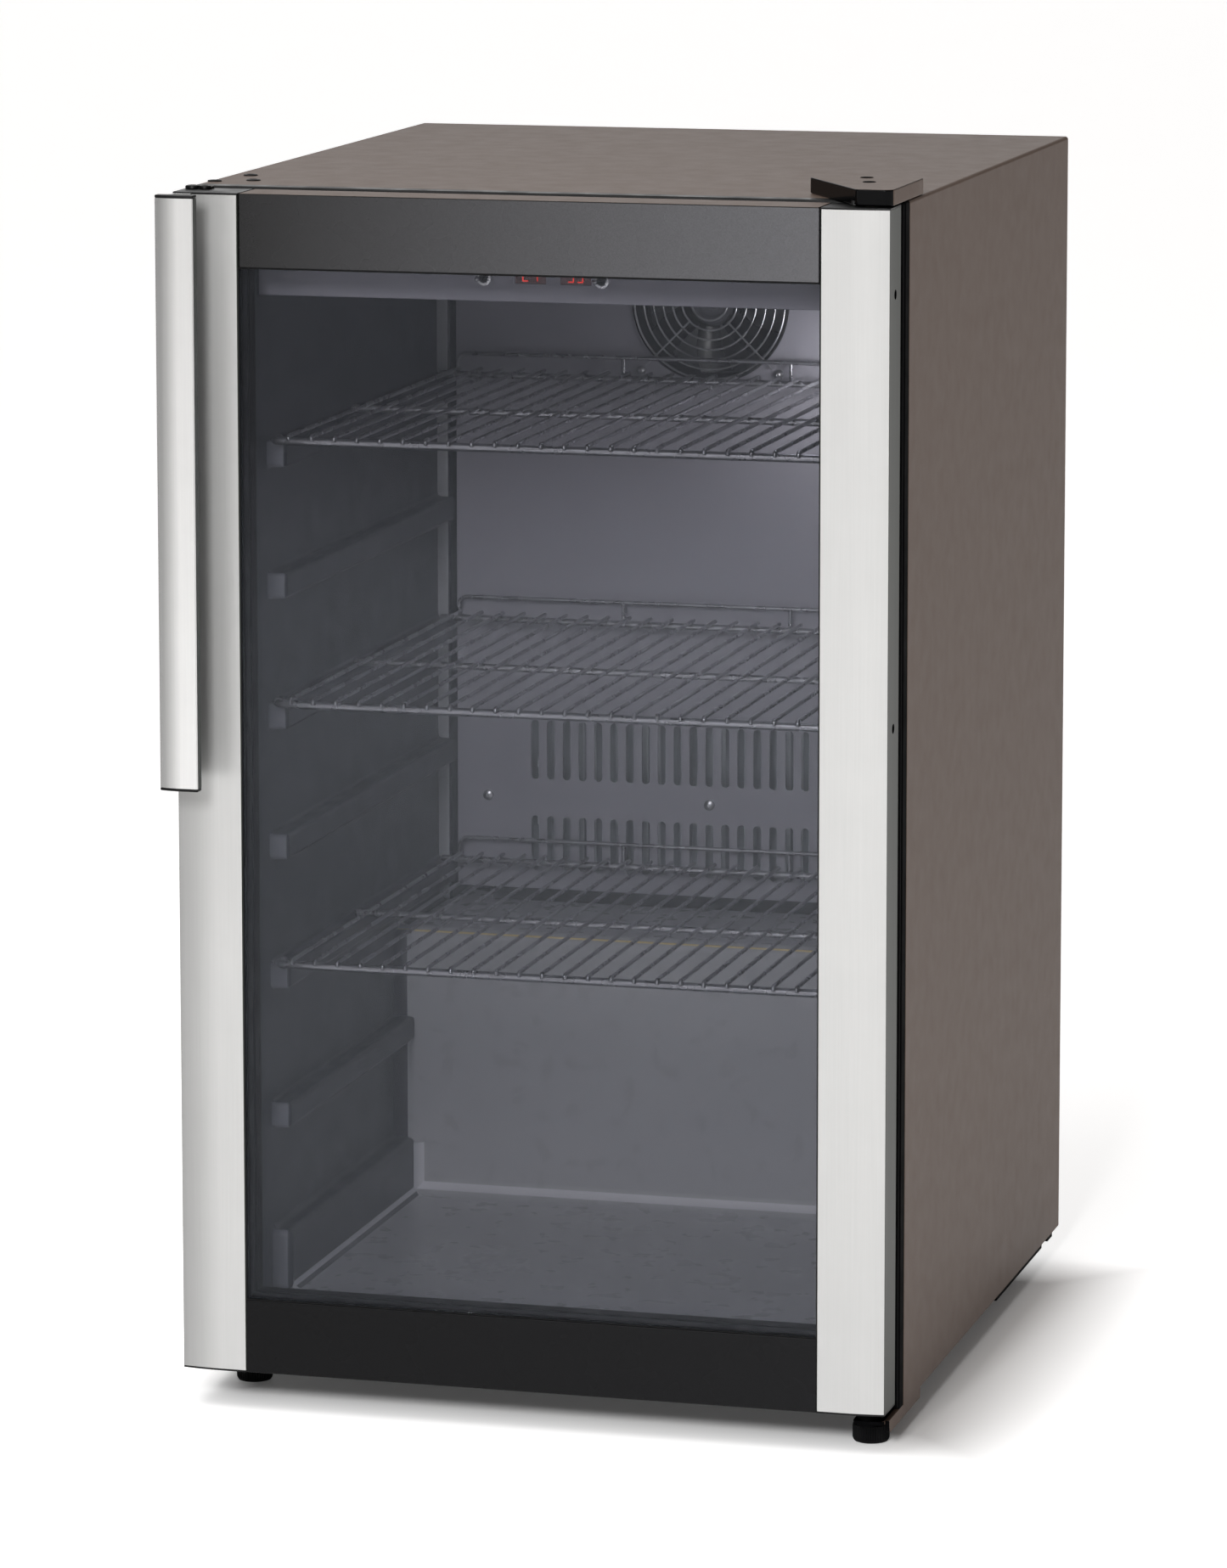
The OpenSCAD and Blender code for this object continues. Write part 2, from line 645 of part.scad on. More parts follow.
module pane(y) block([-rail_in, y, sight_z0 + fit], [rail_in, y + pane_t, sight_z1 - fit]);

module outer_pane() color("#9aa3a8", 0.35) cab() pane(pane_y);

module inner_pane() color("#9aa3a8", 0.35) cab() pane(pane_y + pane_t + pane_gap);

module glazing_spacer() color("#1f1f21") cab()
  bar_frame(rail_in - fit, rail_in - spacer_w, sight_z0 + 0.2, sight_z1 - 0.2, spacer_w,
    pane_y + pane_t + fit / 2, pane_y + pane_t + pane_gap - fit / 2);

module glazing_bead() color("#26262a") cab()
  bar_frame(rail_in - fit, rail_in - bead_w, sight_z0 + 0.2, sight_z1 - 0.2, bead_w,
    pane_y + 2 * pane_t + pane_gap + fit, door_y1);

module door_gasket() color("#141415") cab()
  bar_frame(gasket_x, gasket_x - gasket_w, floor_z - 22, ceiling_z + 22, gasket_w,
    door_y1 + fit / 2, door_y1 + gasket_t);

module hinge_bushes() color("#d8d6cf") cab() for (z = [door_z0, door_z1 - 17]) difference() {
  rod_z([hinge_x, hinge_y, z], 17, 6);
  rod_z([hinge_x, hinge_y, z - 1], 19, pin_r + run_gap);
}

// The handle's profile seen from above: front plate with a return lip, web and foot
module handle_outline() {
  x1 = handle_x0 + handle_w;
  polygon([
    [handle_x0, handle_y], [x1, handle_y], [x1, handle_y + 9], [x1 - 2, handle_y + 9],
    [x1 - 2, handle_y + 3], [handle_x0 + 3, handle_y + 3], [handle_x0 + 3, door_y0 - 3],
    [handle_x0 + 14, door_y0 - 3], [handle_x0 + 14, door_y0 - fit], [handle_x0, door_y0 - fit]]);
}

module door_handle() color("#cfd0d1") cab()
  translate([0, 0, handle_z0]) linear_extrude(handle_z1 - handle_z0) handle_outline();

module handle_caps() color("#151516") cab()
  for (z = [handle_z0 - handle_cap_t - fit, handle_z1 + fit])
    block([handle_x0, handle_y, z], [handle_x0 + handle_w, handle_y + 9, z + handle_cap_t]);

// ---- shelves ----

// One wire shelf: crossbars on the ledges, long wires on the crossbars, a front bar under the
// wires' ends and a raised stop at the back. z is the top of its ledges.
module wire_shelf(z) cab() {
  gap = 0.02;
  wire_z = z + gap + bar_d + gap + wire_d / 2;
  wire_end = crossbar_y[1] + 6;
  for (y = crossbar_y) rod_x([-shelf_x, y, z + gap + bar_d / 2], 2 * shelf_x, bar_d / 2, $fn = 24);
  rod_x([-shelf_x, nose_y, z + bar_d - nose_d / 2], 2 * shelf_x, nose_d / 2, $fn = 24);
  for (i = [0 : wire_count - 1])
    rod_y([(i - (wire_count - 1) / 2) * wire_pitch, nose_y - 4, wire_z], wire_end - nose_y + 4,
      wire_d / 2, $fn = 16);
  rod_x([-192, stop_y, z + stop_h], 384, wire_d / 2, $fn = 16);
  for (x = [-192, -64, 64, 192]) {
    rod_z([x, stop_y, z + bar_d / 2], stop_h - bar_d / 2 - wire_d / 2 - gap, wire_d / 2, $fn = 16);
    rod_y([x, crossbar_y[1] + bar_d / 2 + gap, z + bar_d / 2],
      stop_y - crossbar_y[1] - bar_d / 2 - wire_d / 2 - 2 * gap, wire_d / 2, $fn = 16);
  }
}

module shelf_top() color("#a2a2a6") wire_shelf(ledge_top - shelf_steps[0] * ledge_pitch);

module shelf_middle() color("#a2a2a6") wire_shelf(ledge_top - shelf_steps[1] * ledge_pitch);

module shelf_bottom() color("#a2a2a6") wire_shelf(ledge_top - shelf_steps[2] * ledge_pitch);

side_panel_left();
side_panel_right();
top_panel();
rear_panel();
base_pan();
base_rails();
insulation();
liner_left();
liner_right();
liner_ceiling();
liner_floor();
liner_rear();
front_collar();
evaporator_cover();
evaporator_coil();
drain_trough();
evaporator_fan_frame();
evaporator_fan_guard();
evaporator_fan_rotor();
control_housing();
controller_board();
display_windows();
toggle_bushings();
toggle_lever_left();
toggle_lever_right();
lamp_holder();
lamp_lens();
compressor();
compressor_mounts();
condenser_coil();
condenser_fan_frame();
condenser_fan_rotor();
refrigerant_pipes();
condensate_tray();
rear_grille();
mains_inlet();
top_hinge_plate();
top_hinge_cover();
bottom_hinge_bracket();
hinge_hole_plugs();
cabinet_screws();
rear_feet();
foot_left();
foot_right();
door_stile_left();
door_stile_right();
door_rail_top();
door_rail_bottom();
door_end_caps();
outer_pane();
inner_pane();
glazing_spacer();
glazing_bead();
door_gasket();
hinge_bushes();
door_handle();
handle_caps();
shelf_top();
shelf_middle();
shelf_bottom();
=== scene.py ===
import json
import math

import bmesh
import bpy
from mathutils import Matrix, Vector

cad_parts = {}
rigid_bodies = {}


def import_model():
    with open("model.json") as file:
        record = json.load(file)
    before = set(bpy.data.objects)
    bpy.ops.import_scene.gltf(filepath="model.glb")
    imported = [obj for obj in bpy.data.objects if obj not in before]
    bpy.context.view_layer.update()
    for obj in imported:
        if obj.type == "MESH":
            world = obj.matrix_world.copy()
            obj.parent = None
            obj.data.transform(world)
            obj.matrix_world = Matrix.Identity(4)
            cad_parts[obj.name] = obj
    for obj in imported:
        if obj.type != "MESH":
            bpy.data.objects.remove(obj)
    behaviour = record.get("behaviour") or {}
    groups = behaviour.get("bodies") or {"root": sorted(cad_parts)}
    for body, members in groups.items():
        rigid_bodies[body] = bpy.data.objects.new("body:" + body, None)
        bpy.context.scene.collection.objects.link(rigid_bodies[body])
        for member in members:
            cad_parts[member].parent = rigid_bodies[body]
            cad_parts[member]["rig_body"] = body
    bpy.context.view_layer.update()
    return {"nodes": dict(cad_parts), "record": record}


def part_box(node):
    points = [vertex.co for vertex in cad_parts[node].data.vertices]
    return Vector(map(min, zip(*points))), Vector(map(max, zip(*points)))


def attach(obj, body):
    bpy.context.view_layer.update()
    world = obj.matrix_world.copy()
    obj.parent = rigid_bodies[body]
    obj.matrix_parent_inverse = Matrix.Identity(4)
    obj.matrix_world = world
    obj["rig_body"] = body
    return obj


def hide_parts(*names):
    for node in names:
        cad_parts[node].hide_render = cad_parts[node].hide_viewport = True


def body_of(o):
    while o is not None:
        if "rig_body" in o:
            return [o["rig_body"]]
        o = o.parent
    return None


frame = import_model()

# Lengths are in millimetres in the CAD model's frame until make() turns them into metres.
MM = 0.001
X, Y, Z = 0, 1, 2


def span(node):
    """Lowest and highest corner of a CAD node, in millimetres."""
    lo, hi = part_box(node)
    return lo / MM, hi / MM


# ---- mesh tools

def fillet(points, radius, steps=5, closed=False):
    """The same polyline with its corners rounded."""
    points = [Vector(p) for p in points]
    count = len(points)
    made = []
    for i, p in enumerate(points):
        if not closed and i in (0, count - 1):
            made.append(p)
            continue
        a, b = points[i - 1] - p, points[(i + 1) % count] - p
        half = a.angle(b) / 2
        r = radius[i] if isinstance(radius, (list, tuple)) else radius
        if r <= 0 or half > math.radians(89):
            made.append(p)
            continue
        cut = min(r / math.tan(half), 0.49 * a.length, 0.49 * b.length)
        r = cut * math.tan(half)
        a.normalize()
        b.normalize()
        centre = p + (a + b).normalized() * (r / math.sin(half))
        start, end = p + a * cut - centre, p + b * cut - centre
        turn = start.angle(end)
        for k in range(steps + 1):
            t = k / steps
            w = (start * math.sin((1 - t) * turn) + end * math.sin(t * turn)) / math.sin(turn)
            made.append(centre + w)
    return made


class Form:
    """A mesh under construction."""

    def __init__(self):
        self.bm = bmesh.new()

    def add(self, verts, faces):
        made = [self.bm.verts.new(v) for v in verts]
        for face in faces:
            self.bm.faces.new([made[i] for i in face])
        return self

    def join(self, other):
        made = {v: self.bm.verts.new(v.co) for v in other.verts}
        for face in other.faces:
            self.bm.faces.new([made[v] for v in face.verts])
        other.free()
        return self

    def box(self, lo, hi, r=0.4, seg=3, edges=None):
        """A block with its edges rounded, or only those edges whose middle passes a test."""
        bm = bmesh.new()
        bmesh.ops.create_cube(bm, size=1)
        for v in bm.verts:
            v.co = Vector(lo[k] + (hi[k] - lo[k]) * (v.co[k] + 0.5) for k in range(3))
        picked = [e for e in bm.edges if edges is None or edges((e.verts[0].co + e.verts[1].co) / 2)]
        if picked and r > 0:
            bmesh.ops.bevel(bm, geom=picked, offset=r, segments=seg, profile=0.5, affect="EDGES")
        return self.join(bm)

    def prism(self, outline, start, end, axis=Z, r=0, seg=2):
        """A closed outline pushed along an axis; r rounds the edges of its two ends."""
        a, b = [k for k in range(3) if k != axis]
        bm = bmesh.new()
        rings = []
        for h in (start, end):
            ring = []
            for p in outline:
                co = [0, 0, 0]
                co[axis], co[a], co[b] = h, p[0], p[1]
                ring.append(bm.verts.new(co))
            rings.append(ring)
        count = len(outline)
        ends = [bm.faces.new(rings[0]), bm.faces.new(rings[1])]
        for i in range(count):
            j = (i + 1) % count
            bm.faces.new([rings[0][i], rings[0][j], rings[1][j], rings[1][i]])
        bmesh.ops.recalc_face_normals(bm, faces=bm.faces)
        if r > 0:
            picked = [e for f in ends for e in f.edges]
            bmesh.ops.bevel(bm, geom=picked, offset=r, segments=seg, profile=0.5, affect="EDGES")
        return self.join(bm)

    def loft(self, rings, closed_path=False):
        """Skins a list of rings of points, each with the same count."""
        n = len(rings[0])
        verts = [p for ring in rings for p in ring]
        faces = []
        total = len(rings) if closed_path else len(rings) - 1
        for i in range(total):
            a, b = i * n, ((i + 1) % len(rings)) * n
            for k in range(n):
                m = (k + 1) % n
                faces.append([a + k, a + m, b + m, b + k])
        if not closed_path:
            faces.append(list(range(n)))
            faces.append(list(range((len(rings) - 1) * n, len(rings) * n)))
        return self.add(verts, faces)

    def tube(self, points, r, sides=12, bend=0, closed=False):
        """A round bar along a path, with its bends rounded and its ends slightly domed."""
        path = fillet(points, bend, closed=closed) if bend else [Vector(p) for p in points]
        count = len(path)
        tangents = []
        for i in range(count):
            before = path[i - 1] if closed or i else path[0]
            after = path[(i + 1) % count] if closed or i < count - 1 else path[-1]
            tangents.append((after - before).normalized())
        side = tangents[0].orthogonal().normalized()
        rings = []
        for i in range(count):
            side = (side - tangents[i] * side.dot(tangents[i])).normalized()
            up = tangents[i].cross(side)
            turns = [2 * math.pi * k / sides for k in range(sides)]
            rings.append([[side * math.cos(t) + up * math.sin(t) for t in turns], path[i], r])
        if not closed:
            first, last = rings[0], rings[-1]
            lead = [[first[0], path[0] - tangents[0] * -d * r, r * s]
                    for d, s in ((0.0, 0.45), (0.09, 0.75), (0.3, 0.95))]
            trail = [[last[0], path[-1] + tangents[-1] * -d * r, r * s]
                     for d, s in ((0.3, 0.95), (0.09, 0.75), (0.0, 0.45))]
            first[1] = path[0] + tangents[0] * 0.6 * r
            last[1] = path[-1] - tangents[-1] * 0.6 * r
            rings = lead + rings + trail
        skin = [[at + d * size for d in directions] for directions, at, size in rings]
        return self.loft(skin, closed_path=closed)

    def lathe(self, profile, at, axis=Z, sides=48):
        """Turns a profile of (radius, height) about an axis through a point."""
        a, b = [k for k in range(3) if k != axis]
        rings = []
        verts, faces = [], []
        for radius, h in profile:
            ring = []
            for k in range(sides if radius > 1e-6 else 1):
                t = 2 * math.pi * k / sides
                co = [0, 0, 0]
                co[axis] = at[axis] + h
                co[a] = at[a] + radius * math.cos(t)
                co[b] = at[b] + radius * math.sin(t)
                ring.append(len(verts))
                verts.append(co)
            rings.append(ring)
        for low, high in zip(rings, rings[1:]):
            for k in range(sides):
                m = (k + 1) % sides
                corners = [low[k % len(low)], low[m % len(low)], high[m % len(high)], high[k % len(high)]]
                face = list(dict.fromkeys(corners))
                if len(face) > 2:
                    faces.append(face)
        for ring in (rings[0], rings[-1]):
            if len(ring) > 1:
                faces.append(ring)
        return self.add(verts, faces)

    def hoop(self, x0, x1, z0, z1, profile):
        """Runs a closed profile of (outward, y) round a rectangle in x and z, mitred at its corners."""
        corners = ((x1, z0, 1, -1), (x1, z1, 1, 1), (x0, z1, -1, 1), (x0, z0, -1, -1))
        rings = [[(x + u * sx, y, z + u * sz) for u, y in profile] for x, z, sx, sz in corners]
        return self.loft(rings, closed_path=True)

    def turn(self, matrix):
        bmesh.ops.transform(self.bm, matrix=matrix, verts=self.bm.verts)
        return self


def carved(form, *cutters):
    """The form with the cutters taken away."""
    target = bpy.data.objects.new("target", bpy.data.meshes.new("target"))
    bpy.context.collection.objects.link(target)
    bmesh.ops.recalc_face_normals(form.bm, faces=form.bm.faces)
    form.bm.to_mesh(target.data)
    tools = []
    for cutter in cutters:
        tool = bpy.data.objects.new("tool", bpy.data.meshes.new("tool"))
        bpy.context.collection.objects.link(tool)
        bmesh.ops.recalc_face_normals(cutter.bm, faces=cutter.bm.faces)
        cutter.bm.to_mesh(tool.data)
        cut = target.modifiers.new("cut", "BOOLEAN")
        cut.operation = "DIFFERENCE"
        cut.solver = "EXACT"
        cut.use_self = True
        cut.object = tool
        tools.append(tool)
    shape = bpy.data.meshes.new_from_object(target.evaluated_get(bpy.context.evaluated_depsgraph_get()))
    made = Form()
    made.bm.from_mesh(shape)
    for extra in tools + [target]:
        data = extra.data
        bpy.data.objects.remove(extra)
        bpy.data.meshes.remove(data)
    bpy.data.meshes.remove(shape)
    return made


def make(name, form, finish, nodes=(), body=None, sharp=38, choose=None):
    """Turns a form into a piece that rides on a body and stands for CAD nodes.
    finish is a material slot, or several with choose(normal, centre) to pick one for each face."""
    nodes = [nodes] if isinstance(nodes, str) else list(nodes)
    finishes = [finish] if isinstance(finish, str) else list(finish)
    bm = form.bm
    bmesh.ops.recalc_face_normals(bm, faces=bm.faces)
    if choose:
        for face in bm.faces:
            face.material_index = choose(face.normal, face.calc_center_median())
    bmesh.ops.scale(bm, vec=(MM, MM, MM), verts=bm.verts)
    mesh = bpy.data.meshes.new(name)
    bm.to_mesh(mesh)
    bm.free()
    for entry in finishes:
        mesh.materials.append(MATERIALS[entry])
    mesh.shade_smooth()
    mesh.set_sharp_from_angle(angle=math.radians(sharp))
    piece = bpy.data.objects.new(name, mesh)
    bpy.context.collection.objects.link(piece)
    level = piece.modifiers.new("flat faces stay flat", "WEIGHTED_NORMAL")
    level.keep_sharp = True
    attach(piece, body or body_of(frame["nodes"][nodes[0]])[0])
    if nodes:
        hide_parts(*nodes)
    return piece


# ---- materials

def linear(code):
    """Linear colour of a hexadecimal sRGB code."""
    parts = [int(code[k:k + 2], 16) / 255 for k in (1, 3, 5)]
    return [p / 12.92 if p <= 0.04045 else ((p + 0.055) / 1.055) ** 2.4 for p in parts] + [1]


def wire(tree, kind, settings=None, **inputs):
    """Adds a shader node; each input is a value or another node's output."""
    made = tree.nodes.new("ShaderNode" + kind)
    for key, value in (settings or {}).items():
        setattr(made, key, value)
    for key, value in inputs.items():
        socket = made.inputs[key.replace("_", " ")]
        if isinstance(value, bpy.types.NodeSocket):
            tree.links.new(value, socket)
        else:
            socket.default_value = value
    return made


MATERIALS = {}


def blank(name):
    """The empty shader tree of a new material, which MATERIALS holds by name."""
    material = MATERIALS[name] = bpy.data.materials.new(name)
    material.use_nodes = True
    material.node_tree.nodes.clear()
    return material.node_tree


def noise(tree, scale, detail=3, stretch=(1, 1, 1), rough=0.55):
    """Noise in the object's own space; scale counts features to the metre."""
    place = wire(tree, "TexCoord").outputs["Object"]
    mapped = wire(tree, "Mapping", Vector=place, Scale=stretch).outputs["Vector"]
    return wire(tree, "TexNoise", Vector=mapped, Scale=scale, Detail=detail, Roughness=rough).outputs["Fac"]


def spread(tree, value, low, high, floor=0.3, ceiling=0.7):
    """Maps a value from floor..ceiling, the usual range of noise, to low..high."""
    return wire(tree, "MapRange", Value=value, From_Min=floor, From_Max=ceiling,
                To_Min=low, To_Max=high).outputs["Result"]


def _math(tree, operation, a, b=0):
    """The output of a maths node."""
    made = wire(tree, "Math", {"operation": operation})
    for socket, value in zip(made.inputs, (a, b)):
        if isinstance(value, bpy.types.NodeSocket):
            tree.links.new(value, socket)
        else:
            socket.default_value = value
    return made.outputs[0]


def shaded(tree, colour, shade):
    """A colour made lighter or darker by a factor."""
    made = wire(tree, "VectorMath", {"operation": "SCALE"}, Scale=shade)
    made.inputs[0].default_value = linear(colour)[:3]
    return made.outputs["Vector"]


def bump(tree, strength, distance, height, **under):
    """Relief from a height, on top of another relief when Normal is given."""
    made = wire(tree, "Bump", Strength=strength, Distance=distance, Height=height, **under)
    return made.outputs["Normal"]


def place_axes(tree, space="Object"):
    """The x, y and z of a point in one of the texture spaces."""
    split = wire(tree, "SeparateXYZ", Vector=wire(tree, "TexCoord").outputs[space])
    return [split.outputs[axis] for axis in "XYZ"]


def coat_with(tree, shader):
    """Makes a shader the surface of its material."""
    wire(tree, "OutputMaterial", Surface=shader.outputs[0])


def surface(name, colour, rough, metal=0.0, specular=0.5, coat=0.0, blotch=0.06, blotch_scale=18,
            speck=0.0, speck_scale=1400, grain=0.1, grain_scale=1400, grain_depth=0.00008,
            stretch=(1, 1, 1), smear=0.06, wave=0.0, wave_scale=9, left_facing_painted_shade=1.0):
    """A surface with blotches and specks in its colour, uneven gloss, and a fine grain in relief.
    The last argument is how much of the tone is left where the face rolls away towards the handle side, a
    painted shade."""
    tree = blank(name)
    shade = _math(tree, "MULTIPLY",
                  spread(tree, noise(tree, blotch_scale, 4), 1 - blotch, 1 + blotch),
                  spread(tree, noise(tree, speck_scale, 2, stretch), 1 - speck, 1 + speck))
    # Painted shade: the tone darkens where the face turns towards -x.
    if left_facing_painted_shade < 1:
        painted_shade_facing = place_axes(tree, "Normal")[0]
        shade = _math(tree, "MULTIPLY", shade, spread(tree, painted_shade_facing, left_facing_painted_shade, 1, -0.2, 0))
    tone = shaded(tree, colour, shade)
    gloss = spread(tree, noise(tree, blotch_scale * 3.1, 5, stretch), rough - smear, rough + smear)
    relief = bump(tree, grain, grain_depth, noise(tree, grain_scale, 3, stretch))
    if wave:
        relief = bump(tree, wave, 0.0006, noise(tree, wave_scale, 1), Normal=relief)
    bsdf = wire(tree, "BsdfPrincipled", Base_Color=tone, Roughness=gloss,
                Metallic=metal, Specular_IOR_Level=specular, Normal=relief, Coat_Weight=coat,
                Coat_Roughness=0.08)
    coat_with(tree, bsdf)


def tinted_glass(name, tint, ior, gloss_rough):
    """Clear tinted glass that light passes straight through, with faint smears in its gloss."""
    tree = blank(name)
    smear = spread(tree, noise(tree, 7, 5, (1, 1, 0.5)), gloss_rough, gloss_rough + 0.03)
    through = wire(tree, "BsdfTransparent", Color=tint)
    gloss = wire(tree, "BsdfGlossy", Color=(0.84, 0.9, 1, 1), Roughness=smear)
    edge = wire(tree, "Fresnel", IOR=ior)
    mix = wire(tree, "MixShader", Fac=edge.outputs["Fac"])
    tree.links.new(through.outputs[0], mix.inputs[1])
    tree.links.new(gloss.outputs[0], mix.inputs[2])
    coat_with(tree, mix)


def glowing(name, colour, strength, base):
    """A lit diffuser: it gives light, unevenly, and has a moulded gloss of its own."""
    tree = blank(name)
    level = spread(tree, noise(tree, 60, 2), strength * 0.9, strength * 1.1)
    relief = bump(tree, 0.2, 0.0002, noise(tree, 700, 2))
    bsdf = wire(tree, "BsdfPrincipled", Base_Color=linear(base), Roughness=0.4,
                Emission_Color=linear(colour), Emission_Strength=level, Normal=relief)
    coat_with(tree, bsdf)


def studio_floor(name):
    """A bright pale sweep that glows a little so that it reads as white; the glow fades out under and
    beside the cabinet, a painted shadow.
    """
    tree = blank(name)
    tone = spread(tree, noise(tree, 3, 3), 0.9, 0.92)
    relief = bump(tree, 0.02, 0.0001, noise(tree, 900, 2))
    x, y, _ = place_axes(tree)
    shadow_x, half_width, half_depth = 0.022, 0.26, 0.235
    across = _math(tree, "ABSOLUTE", _math(tree, "SUBTRACT", x, shadow_x))
    beside = _math(tree, "SUBTRACT", across, half_width)
    ahead = _math(tree, "SUBTRACT", _math(tree, "ABSOLUTE", y), half_depth)
    # Painted shadow: the glow fades near the cabinet's footprint, a little right of its middle.
    glow = spread(tree, _math(tree, "MAXIMUM", beside, ahead), 0.05, 0.6, -0.02, 0.055)
    pale = wire(tree, "CombineColor", Red=tone, Green=tone, Blue=tone).outputs["Color"]
    bsdf = wire(tree, "BsdfPrincipled", Base_Color=pale, Roughness=0.6, Normal=relief,
                Emission_Color=(1, 1, 1, 1), Emission_Strength=glow)
    coat_with(tree, bsdf)


def lit_rail(name):
    """Glossy black rail; towards the top and the hinge side its colour is made lighter, a painted sheen
    standing for the room's light.
    """
    tree = blank(name)
    x, _, z = place_axes(tree)
    high = spread(tree, z, 0.04, 1, 0.2, 0.8)
    right = spread(tree, x, 0.02, 1, -0.2, 0.21)
    # Painted sheen: lighter towards the top and the hinge side.
    painted_sheen = _math(tree, "MULTIPLY", high, right)
    grain_tone = spread(tree, noise(tree, 40, 4), 0.995, 1.005)
    fleck = spread(tree, noise(tree, 1300, 2), 0.86, 1.14)
    shade = _math(tree, "MULTIPLY", _math(tree, "MULTIPLY", grain_tone, fleck),
                  _math(tree, "ADD", _math(tree, "MULTIPLY", painted_sheen, 13), 1))
    tone = shaded(tree, "#111112", shade)
    relief = bump(tree, 0.2, 0.0001, noise(tree, 1400, 3))
    bsdf = wire(tree, "BsdfPrincipled", Base_Color=tone,
                Roughness=spread(tree, noise(tree, 30, 2), 0.26, 0.29),
                Specular_IOR_Level=spread(tree, high, 0.06, 0.3, 0, 1), Normal=relief)
    coat_with(tree, bsdf)


EXTRUDED = (1, 1, 0.012)
LINER = {"blotch": 0.012, "speck": 0.02, "wave": 0.05}
# Drawn aluminium; its tone is darkened as painted shade where the face turns towards -x.
DRAWN = {"left_facing_painted_shade": 0.5, "blotch": 0.015, "speck": 0.02, "speck_scale": 900, "grain": 0.025,
         "grain_scale": 2200, "stretch": EXTRUDED, "smear": 0.01}
surface("brown_paint", "#63544b", 0.5, specular=0.12, speck=0.12, speck_scale=1500,
        grain=0.35, grain_scale=1500, blotch=0.01, smear=0.03)
surface("black_paint", "#1d1d1f", 0.5, speck=0.1, grain=0.4, blotch=0.06)
surface("black_plastic", "#080809", 0.42, specular=0.18, grain=0.25, blotch=0.1, smear=0.1)
surface("gloss_black", "#050506", 0.13, specular=0.1, wave=0.25, blotch=0.1, speck=0.06)
surface("foam", "#d9c68c", 0.9, grain=1, grain_scale=600, grain_depth=0.0006, blotch=0.1)
surface("liner_grey", "#b0b0b3", 0.3, grain=0.03, **LINER)
# Copies of the liner grey: a dark one for the side walls as painted shade, a light one for the lowest
# fillets as painted highlight, a mid one for the ledges' front ends as painted light.
surface("liner_wall_painted_shade", "#1a1e2b", 0.36, grain=0.04, **LINER)
surface("liner_fillet_painted_highlight", "#dcdce0", 0.22, grain=0.03, **LINER)
surface("liner_end_painted_light", "#74757c", 0.36, grain=0.04, **LINER)
surface("cover_grey", "#9b99a1", 0.4, blotch=0.03, speck=0.04, grain=0.15, wave=0.1)
surface("fin_aluminium", "#b9bcc0", 0.4, metal=1, blotch=0.12, grain=0.2)
surface("fan_hub", "#6c6c71", 0.35, metal=0.5, grain=0.2, blotch=0.1)
surface("fan_plastic", "#1b1b1e", 0.35, grain=0.2, blotch=0.1)
surface("wire_steel", "#a3a3a7", 0.28, metal=0.9, blotch=0.08, speck=0.05, grain=0.15)
surface("circuit_board", "#2f5a3a", 0.4, speck=0.3, speck_scale=350, grain=0.5)
surface("display_red", "#6a4648", 0.2, coat=0.3, blotch=0.15, grain=0.05)
surface("plated_steel", "#c4c4c6", 0.3, metal=1, blotch=0.1, grain=0.2)
surface("lamp_white", "#e4e4e2", 0.4, blotch=0.03, grain=0.1)
glowing("lamp_diffuser", "#f4f6ff", 14.0, "#f4f3ee")
# A dull near-black for gaps, holes and undersides: painted shade.
surface("painted_shade_black", "#050506", 0.7, specular=0.02, blotch=0.1, grain=0.3)
surface("rubber_black", "#08080a", 0.62, specular=0.1, blotch=0.15, grain=0.5, grain_scale=900)
surface("copper_pipe", "#b06a3c", 0.3, metal=1, blotch=0.15, grain=0.1)
surface("satin_aluminium", "#b2b2b1", 0.3, metal=0.4, **DRAWN)
surface("grip_aluminium", "#c6c6c5", 0.26, metal=0.7, **DRAWN)
# A darker copy of the aluminium for the narrow side faces: painted shade.
surface("aluminium_side_painted_shade", "#454844", 0.45, metal=0.3, specular=0.2, blotch=0.02,
        grain=0.06, stretch=EXTRUDED, smear=0.03)
lit_rail("rail_black")
tinted_glass("tinted_glass", (0.862, 0.862, 0.87, 1), 1.24, 0.01)
surface("nylon_white", "#d8d6cf", 0.5, blotch=0.04, grain=0.1)
glowing("digit_red", "#ff3a2c", 1.1, "#5a0c0a")

# ---- camera, light and floor

camera = bpy.data.objects.new("camera", bpy.data.cameras.new("camera"))
bpy.context.collection.objects.link(camera)
camera.location = (1.2417, -4.6466, 1.2642)
camera.rotation_euler = (math.radians(81.821), math.radians(0.081), math.radians(15.439))
camera.data.lens = 156.594
camera.data.sensor_width = 36
camera.data.shift_x = 0.02485
camera.data.shift_y = -0.15
camera.data.clip_end = 50
bpy.context.scene.camera = camera

world = bpy.data.worlds.new("studio")
bpy.context.scene.world = world
world.use_nodes = True
sky = world.node_tree
across, along, _ = place_axes(sky, "Generated")
behind = _math(sky, "MULTIPLY", _math(sky, "MAXIMUM", along, 0), 0.35)
left_wall = spread(sky, _math(sky, "ADD", across, behind), 0.03, 1, -0.53, -0.26)
right_wall = spread(sky, across, 1, 0.15, -0.16, 0.12)
rear_wall = spread(sky, along, 0.8, 1.15, -0.5, 0.4)
level = _math(sky, "MULTIPLY", _math(sky, "MULTIPLY", left_wall, right_wall), rear_wall)
wall_tone = wire(sky, "ValToRGB", Fac=level)
wall_tone.color_ramp.elements[0].position = 0.2
wall_tone.color_ramp.elements[0].color = (1, 0.9, 0.84, 1)
wall_tone.color_ramp.elements[1].color = (1, 1, 1, 1)
